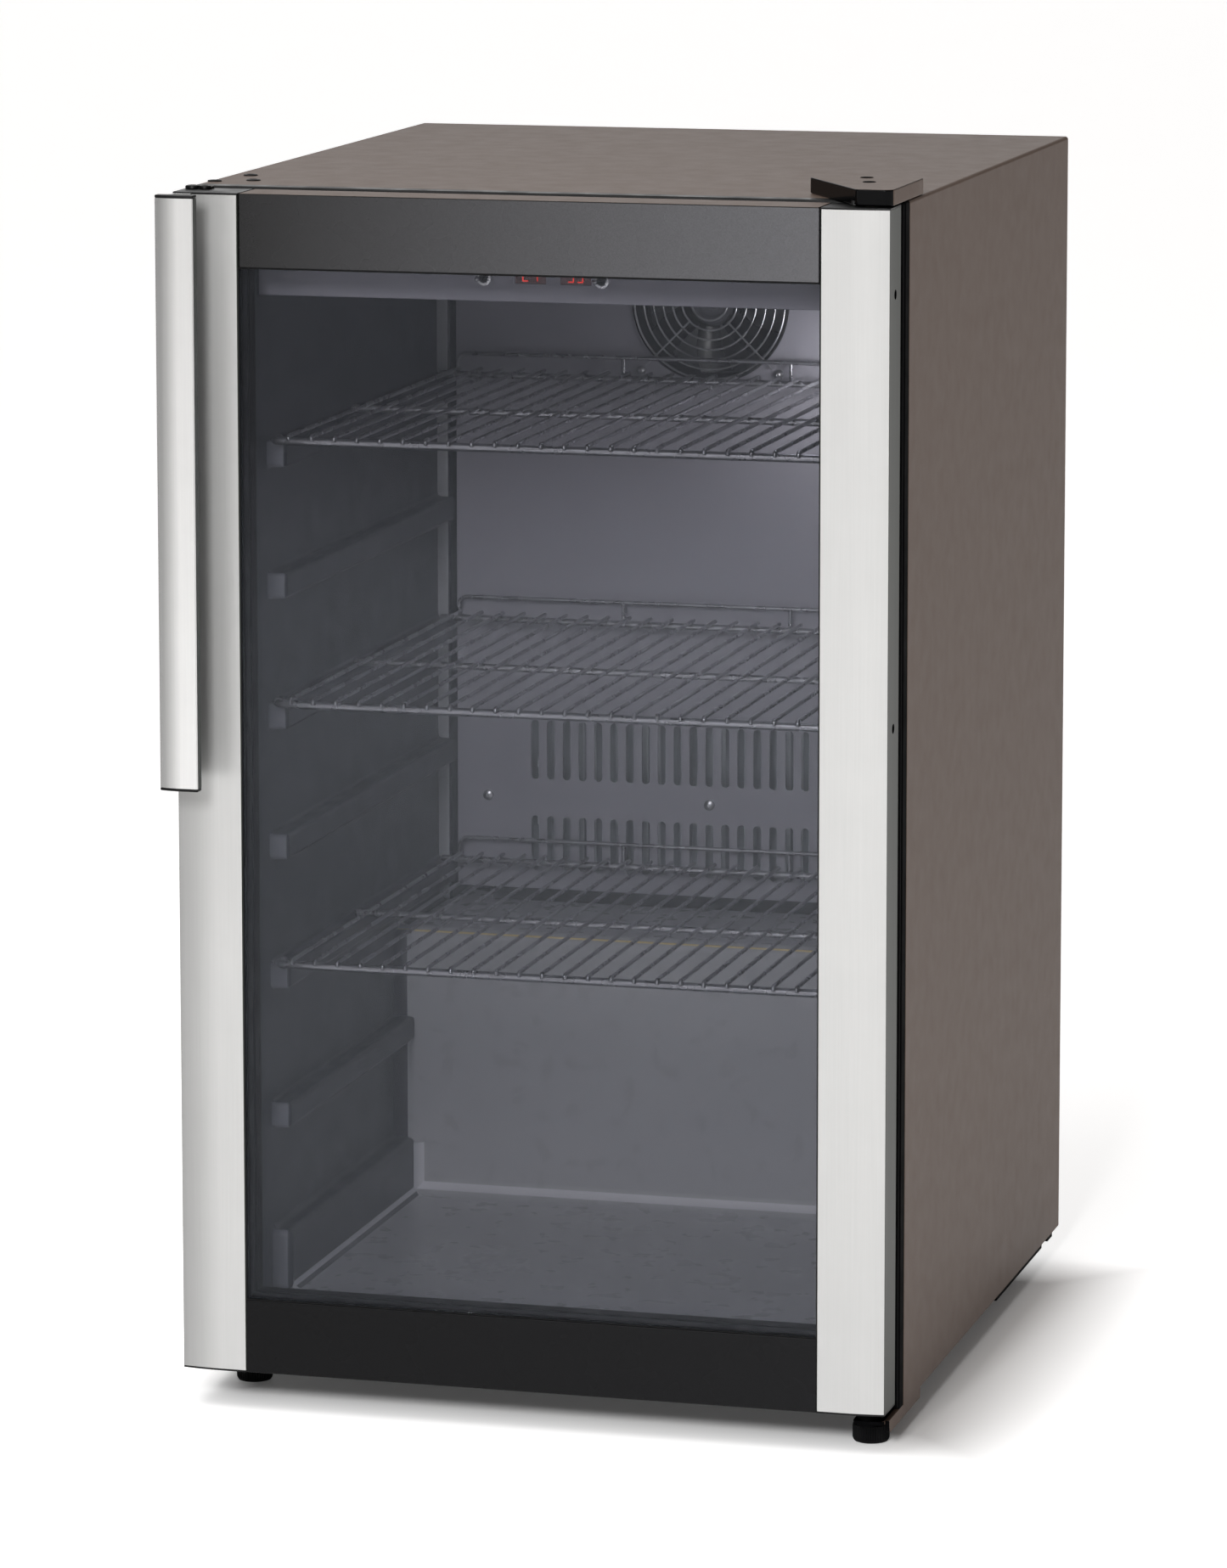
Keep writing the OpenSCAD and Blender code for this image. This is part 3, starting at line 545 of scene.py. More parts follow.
background = sky.nodes["Background"]
sky.links.new(wall_tone.outputs["Color"], background.inputs["Color"])
sky.links.new(level, background.inputs["Strength"])
bpy.context.scene.view_settings.view_transform = "Standard"
bpy.context.scene.cycles.transparent_max_bounces = 24


def softbox(name, place, target, size, power):
    """A square soft light that faces a point; place and target are in metres."""
    lamp = bpy.data.objects.new(name, bpy.data.lights.new(name, "AREA"))
    bpy.context.collection.objects.link(lamp)
    lamp.data.shape = "SQUARE"
    lamp.data.size = size
    lamp.data.energy = power
    lamp.location = place
    lamp.rotation_euler = (Vector(target) - Vector(place)).to_track_quat("-Z", "Y").to_euler()


softbox("key", (-1.0, -1.2, 3.0), (0, 0, 0.4), 1.6, 30)
softbox("front", (0.2, -4.4, 2.2), (0, 0, 0.4), 0.9, 135)
softbox("cabinet_lamp_glow", (0.13, 0.15, 0.68), (0.06, 0.22, 0.65), 0.04, 0.15)

floor_mesh = bpy.data.meshes.new("floor")
floor_reach = 30
corners = [(sx * floor_reach, sy * floor_reach, 0) for sx, sy in ((-1, -1), (1, -1), (1, 1), (-1, 1))]
floor_mesh.from_pydata(corners, [], [(0, 1, 2, 3)])
floor = bpy.data.objects.new("floor", floor_mesh)
studio_floor("studio_floor")
floor_mesh.materials.append(MATERIALS["studio_floor"])
bpy.context.collection.objects.link(floor)

# ---- cabinet skins and collar

def arc(cx, cy, r, start, end, steps=6):
    """Points on an arc, from one angle to another in degrees."""
    turns = [math.radians(start + (end - start) * k / steps) for k in range(steps + 1)]
    return [(cx + r * math.cos(t), cy + r * math.sin(t)) for t in turns]


def plate(x0, x1, y0, y1, r, steps=6):
    """Outline of a rectangle with rounded corners."""
    return (arc(x0 + r, y0 + r, r, 180, 270, steps) + arc(x1 - r, y0 + r, r, 270, 360, steps)
            + arc(x1 - r, y1 - r, r, 0, 90, steps) + arc(x0 + r, y1 - r, r, 90, 180, steps))


for part in frame["record"]["subparts"]:
    mesh = frame["nodes"][part["node"]].data
    mesh.materials.clear()
    mesh.materials.append(MATERIALS[part["material_slot"]])

side_lo, side_hi = span("side_panel_right")
top_lo, top_hi = span("top_panel")
front = side_lo.y - 4.1  # the cabinet's front plane, from which depths are counted
skin = side_hi.x - side_lo.x
bend = 2.4
bend_x, bend_z = side_hi.x - bend, top_hi.z - bend
wrap = ([(-side_hi.x, side_lo.z)] + arc(-bend_x, bend_z, bend, 180, 90)
        + arc(bend_x, bend_z, bend, 90, 0) + [(side_hi.x, side_lo.z)]
        + [(side_lo.x, side_lo.z)] + arc(bend_x, bend_z, bend - skin, 0, 90)
        + arc(-bend_x, bend_z, bend - skin, 90, 180) + [(-side_lo.x, side_lo.z)])
make("cabinet_wrap", Form().prism(wrap, top_lo.y, top_hi.y, Y, r=0.3), "brown_paint",
     ["side_panel_left", "side_panel_right", "top_panel"])

collar_lo, collar_hi = span("front_collar")
liner_lo, liner_hi = span("liner_right")
mouth_x = liner_hi.x + 0.1
ring = Form().box(collar_lo, collar_hi, 1.6, 4, lambda m: m.y < collar_hi.y - 1)
mouth = Form().box((-mouth_x, collar_lo.y - 5, liner_lo.z - 0.1),
                   (mouth_x, collar_hi.y + 5, liner_hi.z + 0.1), 0)
# The collar's side faces take the painted-shade black.
make("collar", carved(ring, mouth), ["black_plastic", "painted_shade_black"], "front_collar",
     choose=lambda n, c: 1 if abs(n.x) > 0.5 else 0)

rear_lo, rear_hi = span("rear_panel")
ribs = Form().box(rear_lo, rear_hi, 0.2, 1)
for k in range(-2, 3):
    ribs.box((k * 84 - 11, rear_hi.y - 0.5, rear_lo.z + 70),
             (k * 84 + 11, rear_hi.y + 1.2, rear_hi.z - 60), 1.1, 3)
make("ribbed_rear_panel", ribs, "brown_paint", "rear_panel")

# ---- liner

wall_x = liner_hi.x - 2
floor_z = liner_lo.z + 2
ceiling_z = liner_hi.z - 2
mouth_y = liner_lo.y
evap_y = span("liner_rear")[0].y
step_y = front + 330
step_z = span("liner_floor")[1].z
ledge_x = liner_lo.x
ledge_tops = [667 - 91.9 * k for k in range(5)] + [200]
ledge_t = 18
ledge_start, ledge_end = front + 28, front + 441
kerb_z = 108.5
tub_t = 2


def cove(form, corner, sides, r, start, end, axis, eat=0.7):
    """A hollow fillet in an inside corner; sides are the two directions away from the corner."""
    (ca, cb), (da, db) = corner, sides
    outline = [(ca - da * eat, cb - db * eat), (ca + da * r, cb - db * eat)]
    for k in range(7):
        t = math.radians(15 * k)
        outline.append((ca + da * r * (1 - math.sin(t)), cb + db * r * (1 - math.cos(t))))
    outline.append((ca - da * eat, cb + db * r))
    form.prism(outline, start, end, axis)


def side_bar(tub, sx, x0, x1, y0, y1, z0, z1, r):
    """A moulded bar on the side wall with the sign sx, its edges rounded except inside the wall."""
    near_x, far_x = sorted((sx * x0, sx * x1))
    tub.box((near_x, y0, z0), (far_x, y1, z1), r, 4, lambda m: abs(m.x) < x1 - 1)


def liner_tub():
    """The moulded tub: walls, floor, compressor step, ledges and kerbs, blended with fillets."""
    tub = Form()
    wall = [(mouth_y, floor_z - tub_t), (step_y + tub_t, floor_z - tub_t),
            (step_y + tub_t, step_z - tub_t), (evap_y + tub_t, step_z - tub_t),
            (evap_y + tub_t, ceiling_z + tub_t), (mouth_y, ceiling_z + tub_t)]
    nose_r = 9
    step = [(step_y, floor_z - tub_t)] + arc(step_y + nose_r, step_z - nose_r, nose_r, 180, 90, 8)
    step += [(evap_y + 1, step_z), (evap_y + 1, step_z - tub_t)]
    step += arc(step_y + nose_r, step_z - nose_r, nose_r - tub_t, 90, 180, 8)
    step += [(step_y + tub_t, floor_z - tub_t)]
    tub.prism(step, -wall_x - 1, wall_x + 1, X)
    tub.box((-wall_x - 1, mouth_y, floor_z - tub_t), (wall_x + 1, step_y + 1, floor_z), 0.4, 2)
    tub.box((-wall_x - 1, mouth_y, ceiling_z), (wall_x + 1, evap_y + 1, ceiling_z + tub_t), 0.4, 2)
    tub.box((-wall_x - 1, evap_y, step_z - tub_t), (wall_x + 1, evap_y + tub_t, ceiling_z + tub_t), 0.4, 2)
    cove(tub, (step_y, floor_z), (-1, 1), 12, -wall_x, wall_x, X)
    for sx in (-1, 1):
        tub.prism(wall, sx * wall_x, sx * (wall_x + tub_t), X)
        for top in ledge_tops:
            end = step_y + 1 if top < step_z else ledge_end
            side_bar(tub, sx, ledge_x, wall_x + 1, ledge_start, end, top - ledge_t, top, 3)
            cove(tub, (sx * wall_x, top), (-sx, 1), 2.5, ledge_start + 2, end, Y)
            cove(tub, (sx * wall_x, top - ledge_t), (-sx, -1), 2.5, ledge_start + 2, end, Y)
        side_bar(tub, sx, ledge_x, wall_x + 1, ledge_start, step_y + 1, floor_z - 1, kerb_z, 5)
        side_bar(tub, sx, wall_x - 10, wall_x + 1, ledge_end, evap_y + 1, step_z - 1, ceiling_z + 1, 3)
        cove(tub, (sx * wall_x, kerb_z), (-sx, 1), 4, ledge_start + 4, step_y, Y)
        cove(tub, (sx * ledge_x, floor_z), (-sx, 1), 7, ledge_start + 4, step_y, Y)
        cove(tub, (sx * ledge_x, step_y), (-sx, -1), 9, floor_z, kerb_z - 4, Z)
        cove(tub, (sx * wall_x, step_y), (-sx, -1), 11, kerb_z - 1, step_z - 2, Z)
        cove(tub, (sx * wall_x, ceiling_z), (-sx, -1), 9, mouth_y + 1, evap_y, Y)
        cove(tub, (sx * wall_x, step_z), (-sx, 1), 7, step_y + nose_r, ledge_end, Y)
    return tub


def liner_painted_shading(n, c):
    """Grey shell; the side walls and ledge sides get a darker copy as painted shade, the ledges' front ends
    a mid grey as painted light, and the lowest fillets and kerb corners a light copy as painted highlight.
    """
    low = c.z < floor_z + 13
    if low and c.y > step_y - 13 and n.y < -0.25 and 0.15 < n.z < 0.7:
        return 3
    if low and ledge_x - 8 < abs(c.x) < ledge_x and 0.3 < n.z < 0.7:
        return 3
    if c.z < kerb_z and c.y > step_y - 10 and n.y < -0.25 and abs(n.x) > 0.25:
        return 3
    if abs(n.x) > 0.3:
        return 1
    if abs(c.x) > ledge_x - 1 and n.y > -0.5:
        return 1
    return 2 if abs(c.x) > ledge_x - 1 and c.y < front + 60 else 0


make("liner_tub", liner_tub(), ["liner_grey", "liner_wall_painted_shade", "liner_end_painted_light", "liner_fillet_painted_highlight"],
     ["liner_left", "liner_right", "liner_ceiling", "liner_floor", "liner_rear"],
     sharp=45, choose=liner_painted_shading)

# ---- door

stile_lo, stile_hi = span("door_stile_right")
door_back = stile_hi.y
door_face = stile_lo.y
cap_lo, cap_hi = span("door_end_caps")
rail_lo, rail_hi = span("door_rail_top")
low_rail_lo, low_rail_hi = span("door_rail_bottom")
cap_t = 1.3
pin_y = front - 36
grip_middle, grip_hole = 642.1, 145.8  # height of the handle's middle, and of its screws from there


def stile_front(outer):
    """The stile's face from above, where the outer part falls back in a gentle curve."""
    fall, reach = 2.6, 28
    curve = [(outer - reach + reach * t, door_face + fall * t * t) for t in (0, 0.25, 0.5, 0.75, 0.88)]
    return curve + arc(outer - 0.8, door_face + fall + 0.5, 0.8, -60, 0, 4)


def mirror_x(form):
    """The form turned into its mirror image across the middle plane."""
    return form.turn(Matrix.Scale(-1, 4, (1, 0, 0)))


def stile():
    """The right stile: its outline from above, pushed up to its full height."""
    outer = stile_hi.x
    outline = [(stile_lo.x, door_back), (stile_lo.x, door_face + 0.5), (stile_lo.x + 0.5, door_face)]
    outline += stile_front(outer) + [(outer, door_back - 0.6), (outer - 0.6, door_back)]
    return Form().prism(outline, stile_lo.z, stile_hi.z)


handle_holes = Form()
for hole_z in (grip_middle - grip_hole, grip_middle + grip_hole):
    handle_holes.lathe([(3.1, -9), (3.1, -0.5), (3.6, 0.3)], (stile_hi.x, pin_y, hole_z), X, 32)


def stile_painted_shading(n, c):
    """Inside of the handle's holes the painted-shade black, the narrow sides a darker copy of the aluminium
    as painted shade.
    """
    in_hole = stile_hi.x - 12 < c.x < stile_hi.x - 0.2 and abs(c.y - pin_y) < 3.3
    if in_hole and stile_lo.z + 1 < c.z < stile_hi.z - 1:
        return 2
    return 1 if abs(n.x) > 0.7 else 0


for name, form, node in (("stile_right", carved(stile(), handle_holes), "door_stile_right"),
                         ("stile_left", mirror_x(stile()), "door_stile_left")):
    make(name, form, ["satin_aluminium", "aluminium_side_painted_shade", "painted_shade_black"], node, choose=stile_painted_shading)

# The rails' black faces run on over the caps' edges, so the caps show only on the stiles.
rail_gap = 1.1
# The top rail's upward faces take the brown paint as a painted reflection of the room on its dark top.
make("rail_top", Form().box((rail_lo.x + rail_gap, rail_lo.y, rail_lo.z),
                            (rail_hi.x - rail_gap, rail_hi.y, rail_hi.z + cap_t), 0.7, 3),
     ["rail_black", "brown_paint", "black_plastic"], "door_rail_top",
     choose=lambda n, c: 1 if n.z > 0.95 else 2 if n.z > 0.2 or n.z < -0.2 else 0)
make("rail_bottom", Form().box((low_rail_lo.x, low_rail_lo.y, low_rail_lo.z - cap_t), low_rail_hi, 0.9, 3),
     "rail_black", "door_rail_bottom")

caps = Form()
half = cap_hi.x
for sx in (-1, 1):
    outline = [(sx * rail_hi.x, door_back), (sx * rail_hi.x, door_face)]
    outline += [(sx * x, y) for x, y in stile_front(half)]
    outline += [(sx * half, door_back - 0.6), (sx * (half - 0.6), door_back)]
    for z in (cap_lo.z, stile_hi.z + 0.1):
        caps.prism(outline, z, z + cap_t - 0.1, Z, r=0.35, seg=2)
make("end_caps", caps, "black_plastic", "door_end_caps")
boss = Form()
boss.prism(plate(-248, -229.6, front - 30, front - 20.2, 2), stile_hi.z + cap_t - 0.2, cap_hi.z - 0.9,
           Z, r=0.4)
for x, r in ((-242.9, 5.0), (-233.9, 4.2)):
    boss.lathe([(0, -2.2), (r, -2.2), (r, -0.9), (r * 0.93, -0.35), (r * 0.75, -0.05), (r * 0.5, 0),
                (r * 0.42, -0.4), (0, -0.45)], (x, front - 28.6, cap_hi.z), Z, 40)
make("cap_boss", boss, "black_plastic", body="door")

pane_lo, pane_hi = span("outer_pane")
for name, node in (("outer_glass", "outer_pane"), ("inner_glass", "inner_pane")):
    lo, hi = span(node)
    make(name, Form().box(lo, hi, 0.3, 1), "tinted_glass", node)
trim = [(0, pane_lo.y - 0.05), (0, pane_lo.y - 0.8), (-0.2, pane_lo.y - 1), (-0.6, pane_lo.y - 1),
        (-0.8, pane_lo.y - 0.7), (-0.8, pane_lo.y - 0.05)]
make("glazing_trim", Form().hoop(pane_lo.x, pane_hi.x, pane_lo.z, pane_hi.z, trim), "black_plastic",
     body="door")
for name, node, wide, soft in (("glazing_spacer_bar", "glazing_spacer", 1, 0.2),
                               ("inner_bead", "glazing_bead", 1, 0.4)):
    lo, hi = span(node)
    rim = [(0, lo.y), (0, hi.y), (-wide + soft, hi.y), (-wide, hi.y - soft), (-wide, lo.y)]
    make(name, Form().hoop(lo.x, hi.x, lo.z, hi.z, rim), "black_plastic", node)

gasket_lo, gasket_hi = span("door_gasket")
bellows = [(-20, 0), (-20, 3), (-17.5, 4.2), (-17.5, 5.6), (-20, 7), (-20, 10.2), (-18.8, 11.4), (-4, 11.4),
           (-2.6, 10.4), (-2.6, 8), (-0.4, 6.6), (0, 5.4), (-2, 3.6), (0, 2), (0, 0)]
seal = [(u, gasket_lo.y + v * (gasket_hi.y - gasket_lo.y) / 11.4) for u, v in bellows]
make("magnetic_seal", Form().hoop(gasket_lo.x, gasket_hi.x, gasket_lo.z, gasket_hi.z, seal),
     "rubber_black", "door_gasket")

# ---- handle

grip_lo, grip_hi = span("door_handle")


def grip_face():
    """The handle's face from above, curved back at its outer side like the stile behind it."""
    fall, reach = 2.15, 15
    x0, y0 = grip_lo.x, grip_lo.y
    curve = [(x0 + reach - reach * t, y0 + fall * t * t)
             for t in (-0.25, -0.12, 0, 0.2, 0.4, 0.6, 0.75, 0.86)]
    return curve + arc(x0 + 1.3, y0 + fall + 1.1, 1.3, 240, 180, 5)


lip_x, face_y = grip_hi.x, grip_lo.y  # the finger lip's outside and the front of the handle
foot_x, wall_t = 14, 3
grip = ([(lip_x - 0.8, face_y + 0.3)] + grip_face()
        + [(grip_lo.x, door_face - 0.1), (grip_lo.x + foot_x, door_face - 0.1),
           (grip_lo.x + foot_x, door_face - wall_t), (grip_lo.x + wall_t, door_face - wall_t),
           (grip_lo.x + wall_t, face_y + 4.6), (lip_x - 2, face_y + 3), (lip_x - 2, face_y + 9),
           (lip_x - 0.4, face_y + 9), (lip_x, face_y + 8.6), (lip_x, face_y + 1)])
# The handle's right side face takes the darker aluminium as painted shade.
make("pull_handle", Form().prism(grip, grip_lo.z, grip_hi.z), ["grip_aluminium", "aluminium_side_painted_shade"],
     "door_handle", choose=lambda n, c: 1 if n.x > 0.9 else 0)
caps_lo, caps_hi = span("handle_caps")
lids = Form()
lid = [(lip_x - 0.8, face_y + 0.3)] + grip_face() + [
    (grip_lo.x, face_y + 8.2), (grip_lo.x + 0.8, face_y + 9), (lip_x - 0.8, face_y + 9),
    (lip_x, face_y + 8.2), (lip_x, face_y + 1)]
for z0, z1 in ((caps_lo.z, grip_lo.z - 0.05), (grip_hi.z + 0.05, caps_hi.z)):
    lids.prism(lid, z0, z1, Z, r=0.6, seg=2)
make("handle_end_caps", lids, "black_plastic", "handle_caps")

# ---- hinges, plugs and feet

cover_lo, cover_hi = span("top_hinge_cover")
cx, cy = cover_hi.x, cover_lo.y
cover_corners = [(cx - 24.5, cy, 0), (cx, cy, 0), (cx, cy + 96, 0), (cx - 77.4, cy + 85, 0)]
cover = [(p.x, p.y) for p in fillet(cover_corners, [5, 6.5, 3.4, 3], steps=8, closed=True)]
cover_top = cover_hi.z - 0.5  # the two screw caps stand proud of it
make("hinge_cover", Form().prism(cover, cover_lo.z, cover_top, Z, r=1.1, seg=3),
     ["gloss_black", "brown_paint"], "top_hinge_cover",
     choose=lambda n, c: 1 if n.z > 0.8 or n.x > 0.9 else 0)
screw_caps = Form()
for x, y in ((212, 40), (221, 8)):
    screw_caps.lathe([(0, -2.5), (4.5, -2.5), (4.5, -0.4), (4.2, -0.12), (3.4, 0), (0, 0)],
                     (x, front + y, cover_hi.z), Z, 40)
# The screw caps take the painted-shade black of the dark screw holes.
make("hinge_cover_screw_caps", screw_caps, "painted_shade_black", body="cabinet")

plugs = Form()
for x, y in ((-234.5, 72.5), (-220.5, 36), (-244.5, 23.5)):
    plugs.lathe([(0, -1.5), (3.9, -1.5), (3.9, 0), (5, 0), (5, 0.35), (4.5, 0.85), (3.6, 0.98), (2.9, 0.8),
                 (2.6, 0.4), (0, 0.3)], (x, front + y, top_hi.z + 0.02), Z, 40)
make("hole_plugs", plugs, "black_plastic", "hinge_hole_plugs")

bracket = Form().prism(plate(225, 246.9, front - 43.5, front + 58, 4), 18.4, 21, Z, r=0.5)
flange = (arc(front - 39 + 5, 12 + 5, 5, 180, 270, 5) + arc(front + 58 - 3, 12 + 3, 3, 270, 360, 3)
          + [(front + 58, 21), (front - 39, 21)])
bracket.prism(flange, 246.8, 249.8, X, r=0.5)
bracket.lathe([(7, -3), (7, 7), (6.4, 7.6), (4, 7.6), (4, 28.2), (3.2, 29), (0, 29)],
              (234, pin_y, 19.5), Z, 40)
# The bracket's front faces and its part under the cabinet take the painted-shade black; its outer flange is
# brown paint.
make("hinge_bracket", bracket, ["brown_paint", "painted_shade_black"], "bottom_hinge_bracket",
     choose=lambda n, c: 1 if n.y < -0.3 or c.x < 245 else 0)


def knurled_foot(at, stud_top):
    """A levelling foot: knurled pad, neck and threaded stud."""
    teeth, sides = 44, 176
    rings = []
    for r, z, depth in ((9.6, 0, 0), (11.6, 0.3, 0), (12.3, 1.4, 0.2), (12.7, 2.6, 0.7), (12.7, 10.4, 0.7),
                        (12.4, 11.8, 0.3), (11.4, 12.8, 0), (7.2, 13.0, 0), (6.8, 13.4, 0), (6.4, 15.4, 0)):
        ring = []
        for k in range(sides):
            t = 2 * math.pi * k / sides
            cut = depth * (0.5 - 0.5 * math.cos(teeth * t))
            ring.append((at[0] + (r - cut) * math.cos(t), at[1] + (r - cut) * math.sin(t), z))
        rings.append(ring)
    form = Form().loft(rings)
    thread = [(0, 15.2)]
    z = 15.2
    while z < stud_top - 1:
        thread += [(3.5, z), (4, z + 0.5)]
        z += 1
    return form.lathe(thread + [(3.4, stud_top), (0, stud_top)], (at[0], at[1], 0), Z, 32)


for name, node in (("left", "foot_left"), ("right", "foot_right")):
    lo, hi = span(node)
    make("levelling_foot_" + name, knurled_foot(((lo.x + hi.x) / 2, (lo.y + hi.y) / 2), hi.z),
         "rubber_black", node)
feet = Form()
for sx in (-1, 1):
    feet.lathe([(0, 0), (9.6, 0), (10.8, 0.5), (11, 1.6), (10.2, 18), (9.6, 19.2), (9, 19.9), (0, 19.9)],
               (sx * 215, front + 500, 0), Z, 48)
make("rear_feet_pads", feet, "rubber_black", "rear_feet")

# ---- shelves

def wire_shelf(node, ledge):
    """A wire shelf on one of the ledges, which are counted from the top: crossbars, long wires bent
    over the front bar, and a raised stop at the back."""
    lo, hi = span(node)
    z = max(lo.z, ledge_tops[ledge])
    half_width = hi.x
    bar_z = z + 2.55
    top_z = z + 6.54
    bars = Form()
    for depth in (205, 424):
        bars.tube([(-half_width, front + depth, bar_z), (half_width, front + depth, bar_z)], 2.5, 16)
    nose_x, nose_y = half_width - 2.2, front + 15
    nose = [(-nose_x, nose_y + 16, z + 2.6), (-nose_x, nose_y, z + 2.4), (nose_x, nose_y, z + 2.4),
            (nose_x, nose_y + 16, z + 2.6)]
    bars.tube(nose, 2.9, 16, bend=6)
    count, pitch = 24, 16.4
    for k in range(count):
        x = (k - (count - 1) / 2) * pitch
        bars.tube([(x, nose_y - 3.9, z + 3.3), (x, nose_y - 3.9, top_z), (x, front + 430, top_z)],
                  1.5, 10, bend=3.4)
    rail_z = z + 17
    stop_y = front + 436
    stop_x = 192
    stop = [(-stop_x, front + 425, z + 2.5), (-stop_x, stop_y, z + 2.5), (-stop_x, stop_y, rail_z),
            (stop_x, stop_y, rail_z), (stop_x, stop_y, z + 2.5), (stop_x, front + 425, z + 2.5)]
    bars.tube(stop, 1.5, 10, bend=[0, 4, 7, 7, 4, 0])
    for x in (-64, 64):
        bars.tube([(x, front + 425, z + 2.5), (x, stop_y, z + 2.5), (x, stop_y, rail_z - 0.6)],
                  1.5, 10, bend=4)
    return bars


for name, ledge in (("top", 0), ("middle", 2), ("bottom", 4)):
    make("wire_shelf_grid_" + name, wire_shelf("shelf_" + name, ledge), "wire_steel",
         "shelf_" + name, sharp=60)

# ---- evaporator fan and cover

cover_face = span("evaporator_cover")[0].y
fan_lo, fan_hi = span("evaporator_fan_frame")
fan_x, fan_z = (fan_lo.x + fan_hi.x) / 2, (fan_lo.z + fan_hi.z) / 2

guard = Form()
ring_turns = [2 * math.pi * i / 72 for i in range(72)]
for k in range(-1, 6):
    radius = 21 + 7.3 * k
    guard.tube([(fan_x + radius * math.cos(t), cover_face - 1.8, fan_z + radius * math.sin(t))
                for t in ring_turns], 0.8, 8, closed=True)
for turn in (45, 135, 225, 315):
    c, s = math.cos(math.radians(turn)), math.sin(math.radians(turn))
    guard.tube([(fan_x + 20 * c, cover_face - 3.4, fan_z + 20 * s),
                (fan_x + 68.5 * c, cover_face - 3.4, fan_z + 68.5 * s)], 0.8, 8)
make("fan_guard_wires", guard, "plated_steel", "evaporator_fan_guard", sharp=60)


def fan_rotor():
    """A rotor about +Y: ringed hub cup, shaft and seven swept blades."""
    y0, y1 = 4, 27
    hub_r, tip_r, blades, stations = 18, 54.6, 7, 7
    hub = [(0, y0 + 1.2), (5, y0 + 1.2), (5.6, y0 + 0.4), (7, y0 + 0.4), (7.6, y0 + 1.1), (11, y0 + 1.1),
           (11.6, y0 + 0.5), (13, y0 + 0.5), (13.6, y0 + 1), (16.4, y0 + 0.9), (17, y0), (18.2, y0 + 0.2),
           (19, y0 + 1.2), (19, y1), (2, y1), (2, y1 + 10), (0, y1 + 10)]
    rotor = Form().lathe(hub, (0, 0, 0), Y, 64)
    for blade in range(blades):
        skins = []
        for station in range(stations):
            out = station / (stations - 1)
            radius = hub_r + (tip_r - hub_r) * out
            sweep = math.radians(blade * 360 / blades + 14 * out ** 1.4)
            pitch = math.radians(38 - 12 * out)
            chord = 16 + 9 * out
            ring = []
            for side in (1, -1):
                for j in range(5):
                    t = (j / 4 - 0.5) * side
                    camber = 2.4 * (1 - (2 * t) ** 2)
                    thick = side * 0.75 * (1 - 0.6 * abs(2 * t))
                    along = chord * t * math.cos(pitch) - (camber + thick) * math.sin(pitch)
                    depth = (y0 + y1) / 2 + chord * t * math.sin(pitch) + (camber + thick) * math.cos(pitch)
                    angle = sweep + along / radius
                    ring.append((radius * math.cos(angle), depth, radius * math.sin(angle)))
            skins.append(ring)
        rotor.loft(skins)
    return rotor


rotor = fan_rotor()
rotor.turn(Matrix.Translation((fan_x, fan_lo.y, fan_z)))
make("fan_rotor_evaporator", rotor, ["fan_plastic", "fan_hub"], "evaporator_fan_rotor",
     choose=lambda n, c: 1 if c.y < fan_lo.y + 6 and math.hypot(c.x - fan_x, c.z - fan_z) < 17.5 else 0)
fan2_lo, fan2_hi = span("condenser_fan_frame")
rotor = fan_rotor()
rotor.turn(Matrix.Rotation(math.radians(90), 4, "Z"))
rotor.turn(Matrix.Translation((fan2_hi.x, (fan2_lo.y + fan2_hi.y) / 2, (fan2_lo.z + fan2_hi.z) / 2)))
make("fan_rotor_condenser", rotor, "fan_plastic", "condenser_fan_rotor")

screws = Form()


def pan_head(at, axis, r, h):
    """Adds a domed screw head with a recess in its middle; a negative height faces down the axis."""
    screws.lathe([(0, 0), (r, 0), (r, h * 0.25), (r * 0.86, h * 0.7), (r * 0.5, h * 0.97), (r * 0.32, h),
                  (r * 0.26, h * 0.55), (0, h * 0.5)], at, axis, 32)


for x, y in ((212, 24), (238, 24)):
    pan_head((x, front + y, 850.15), Z, 4.6, 2.3)
for x, z in ((0, 348), (-172, 348), (172, 348)):
    pan_head((x, cover_face - 0.1, z), Y, 4, -2.4)
for sx in (-1, 1):
    for sz in (-1, 1):
        pan_head((fan_x + sx * 52.5, cover_face - 0.1, fan_z + sz * 52.5), Y, 3.6, -4)
    for z in (40, 222):
        pan_head((sx * 240, rear_hi.y + 0.05, z), Y, 4, 1.7)
make("screw_heads", screws, "plated_steel", "cabinet_screws")

# ---- controls and lamp

panel_lo, panel_hi = span("control_housing")
housing = Form().box((panel_lo.x, panel_lo.y, panel_lo.z), (panel_hi.x, panel_lo.y + 2, panel_hi.z), 1.2, 3,
                     lambda m: m.y < panel_lo.y + 1)
housing.box((panel_lo.x, panel_lo.y + 1.5, panel_lo.z), (panel_hi.x, panel_hi.y, panel_lo.z + 2), 0.5, 2)
housing.box((panel_lo.x, panel_hi.y - 2, panel_lo.z + 1.5), (panel_hi.x, panel_hi.y, panel_hi.z), 0.5, 2)
window_lo, window_hi = span("display_windows")
switch_z = 786.5
switch_x = (-48, 35)
display_x = (-15.5, 16.5)
cuts = [Form().box((x - 11, panel_lo.y - 2, window_lo.z - 0.1),
                   (x + 11, panel_lo.y + 5, window_hi.z + 0.1), 0) for x in display_x]
cuts += [Form().lathe([(3.6, -3), (3.6, 5)], (x, panel_lo.y, switch_z), Y, 32) for x in switch_x]
make("control_panel", carved(housing, *cuts), "cover_grey", "control_housing")

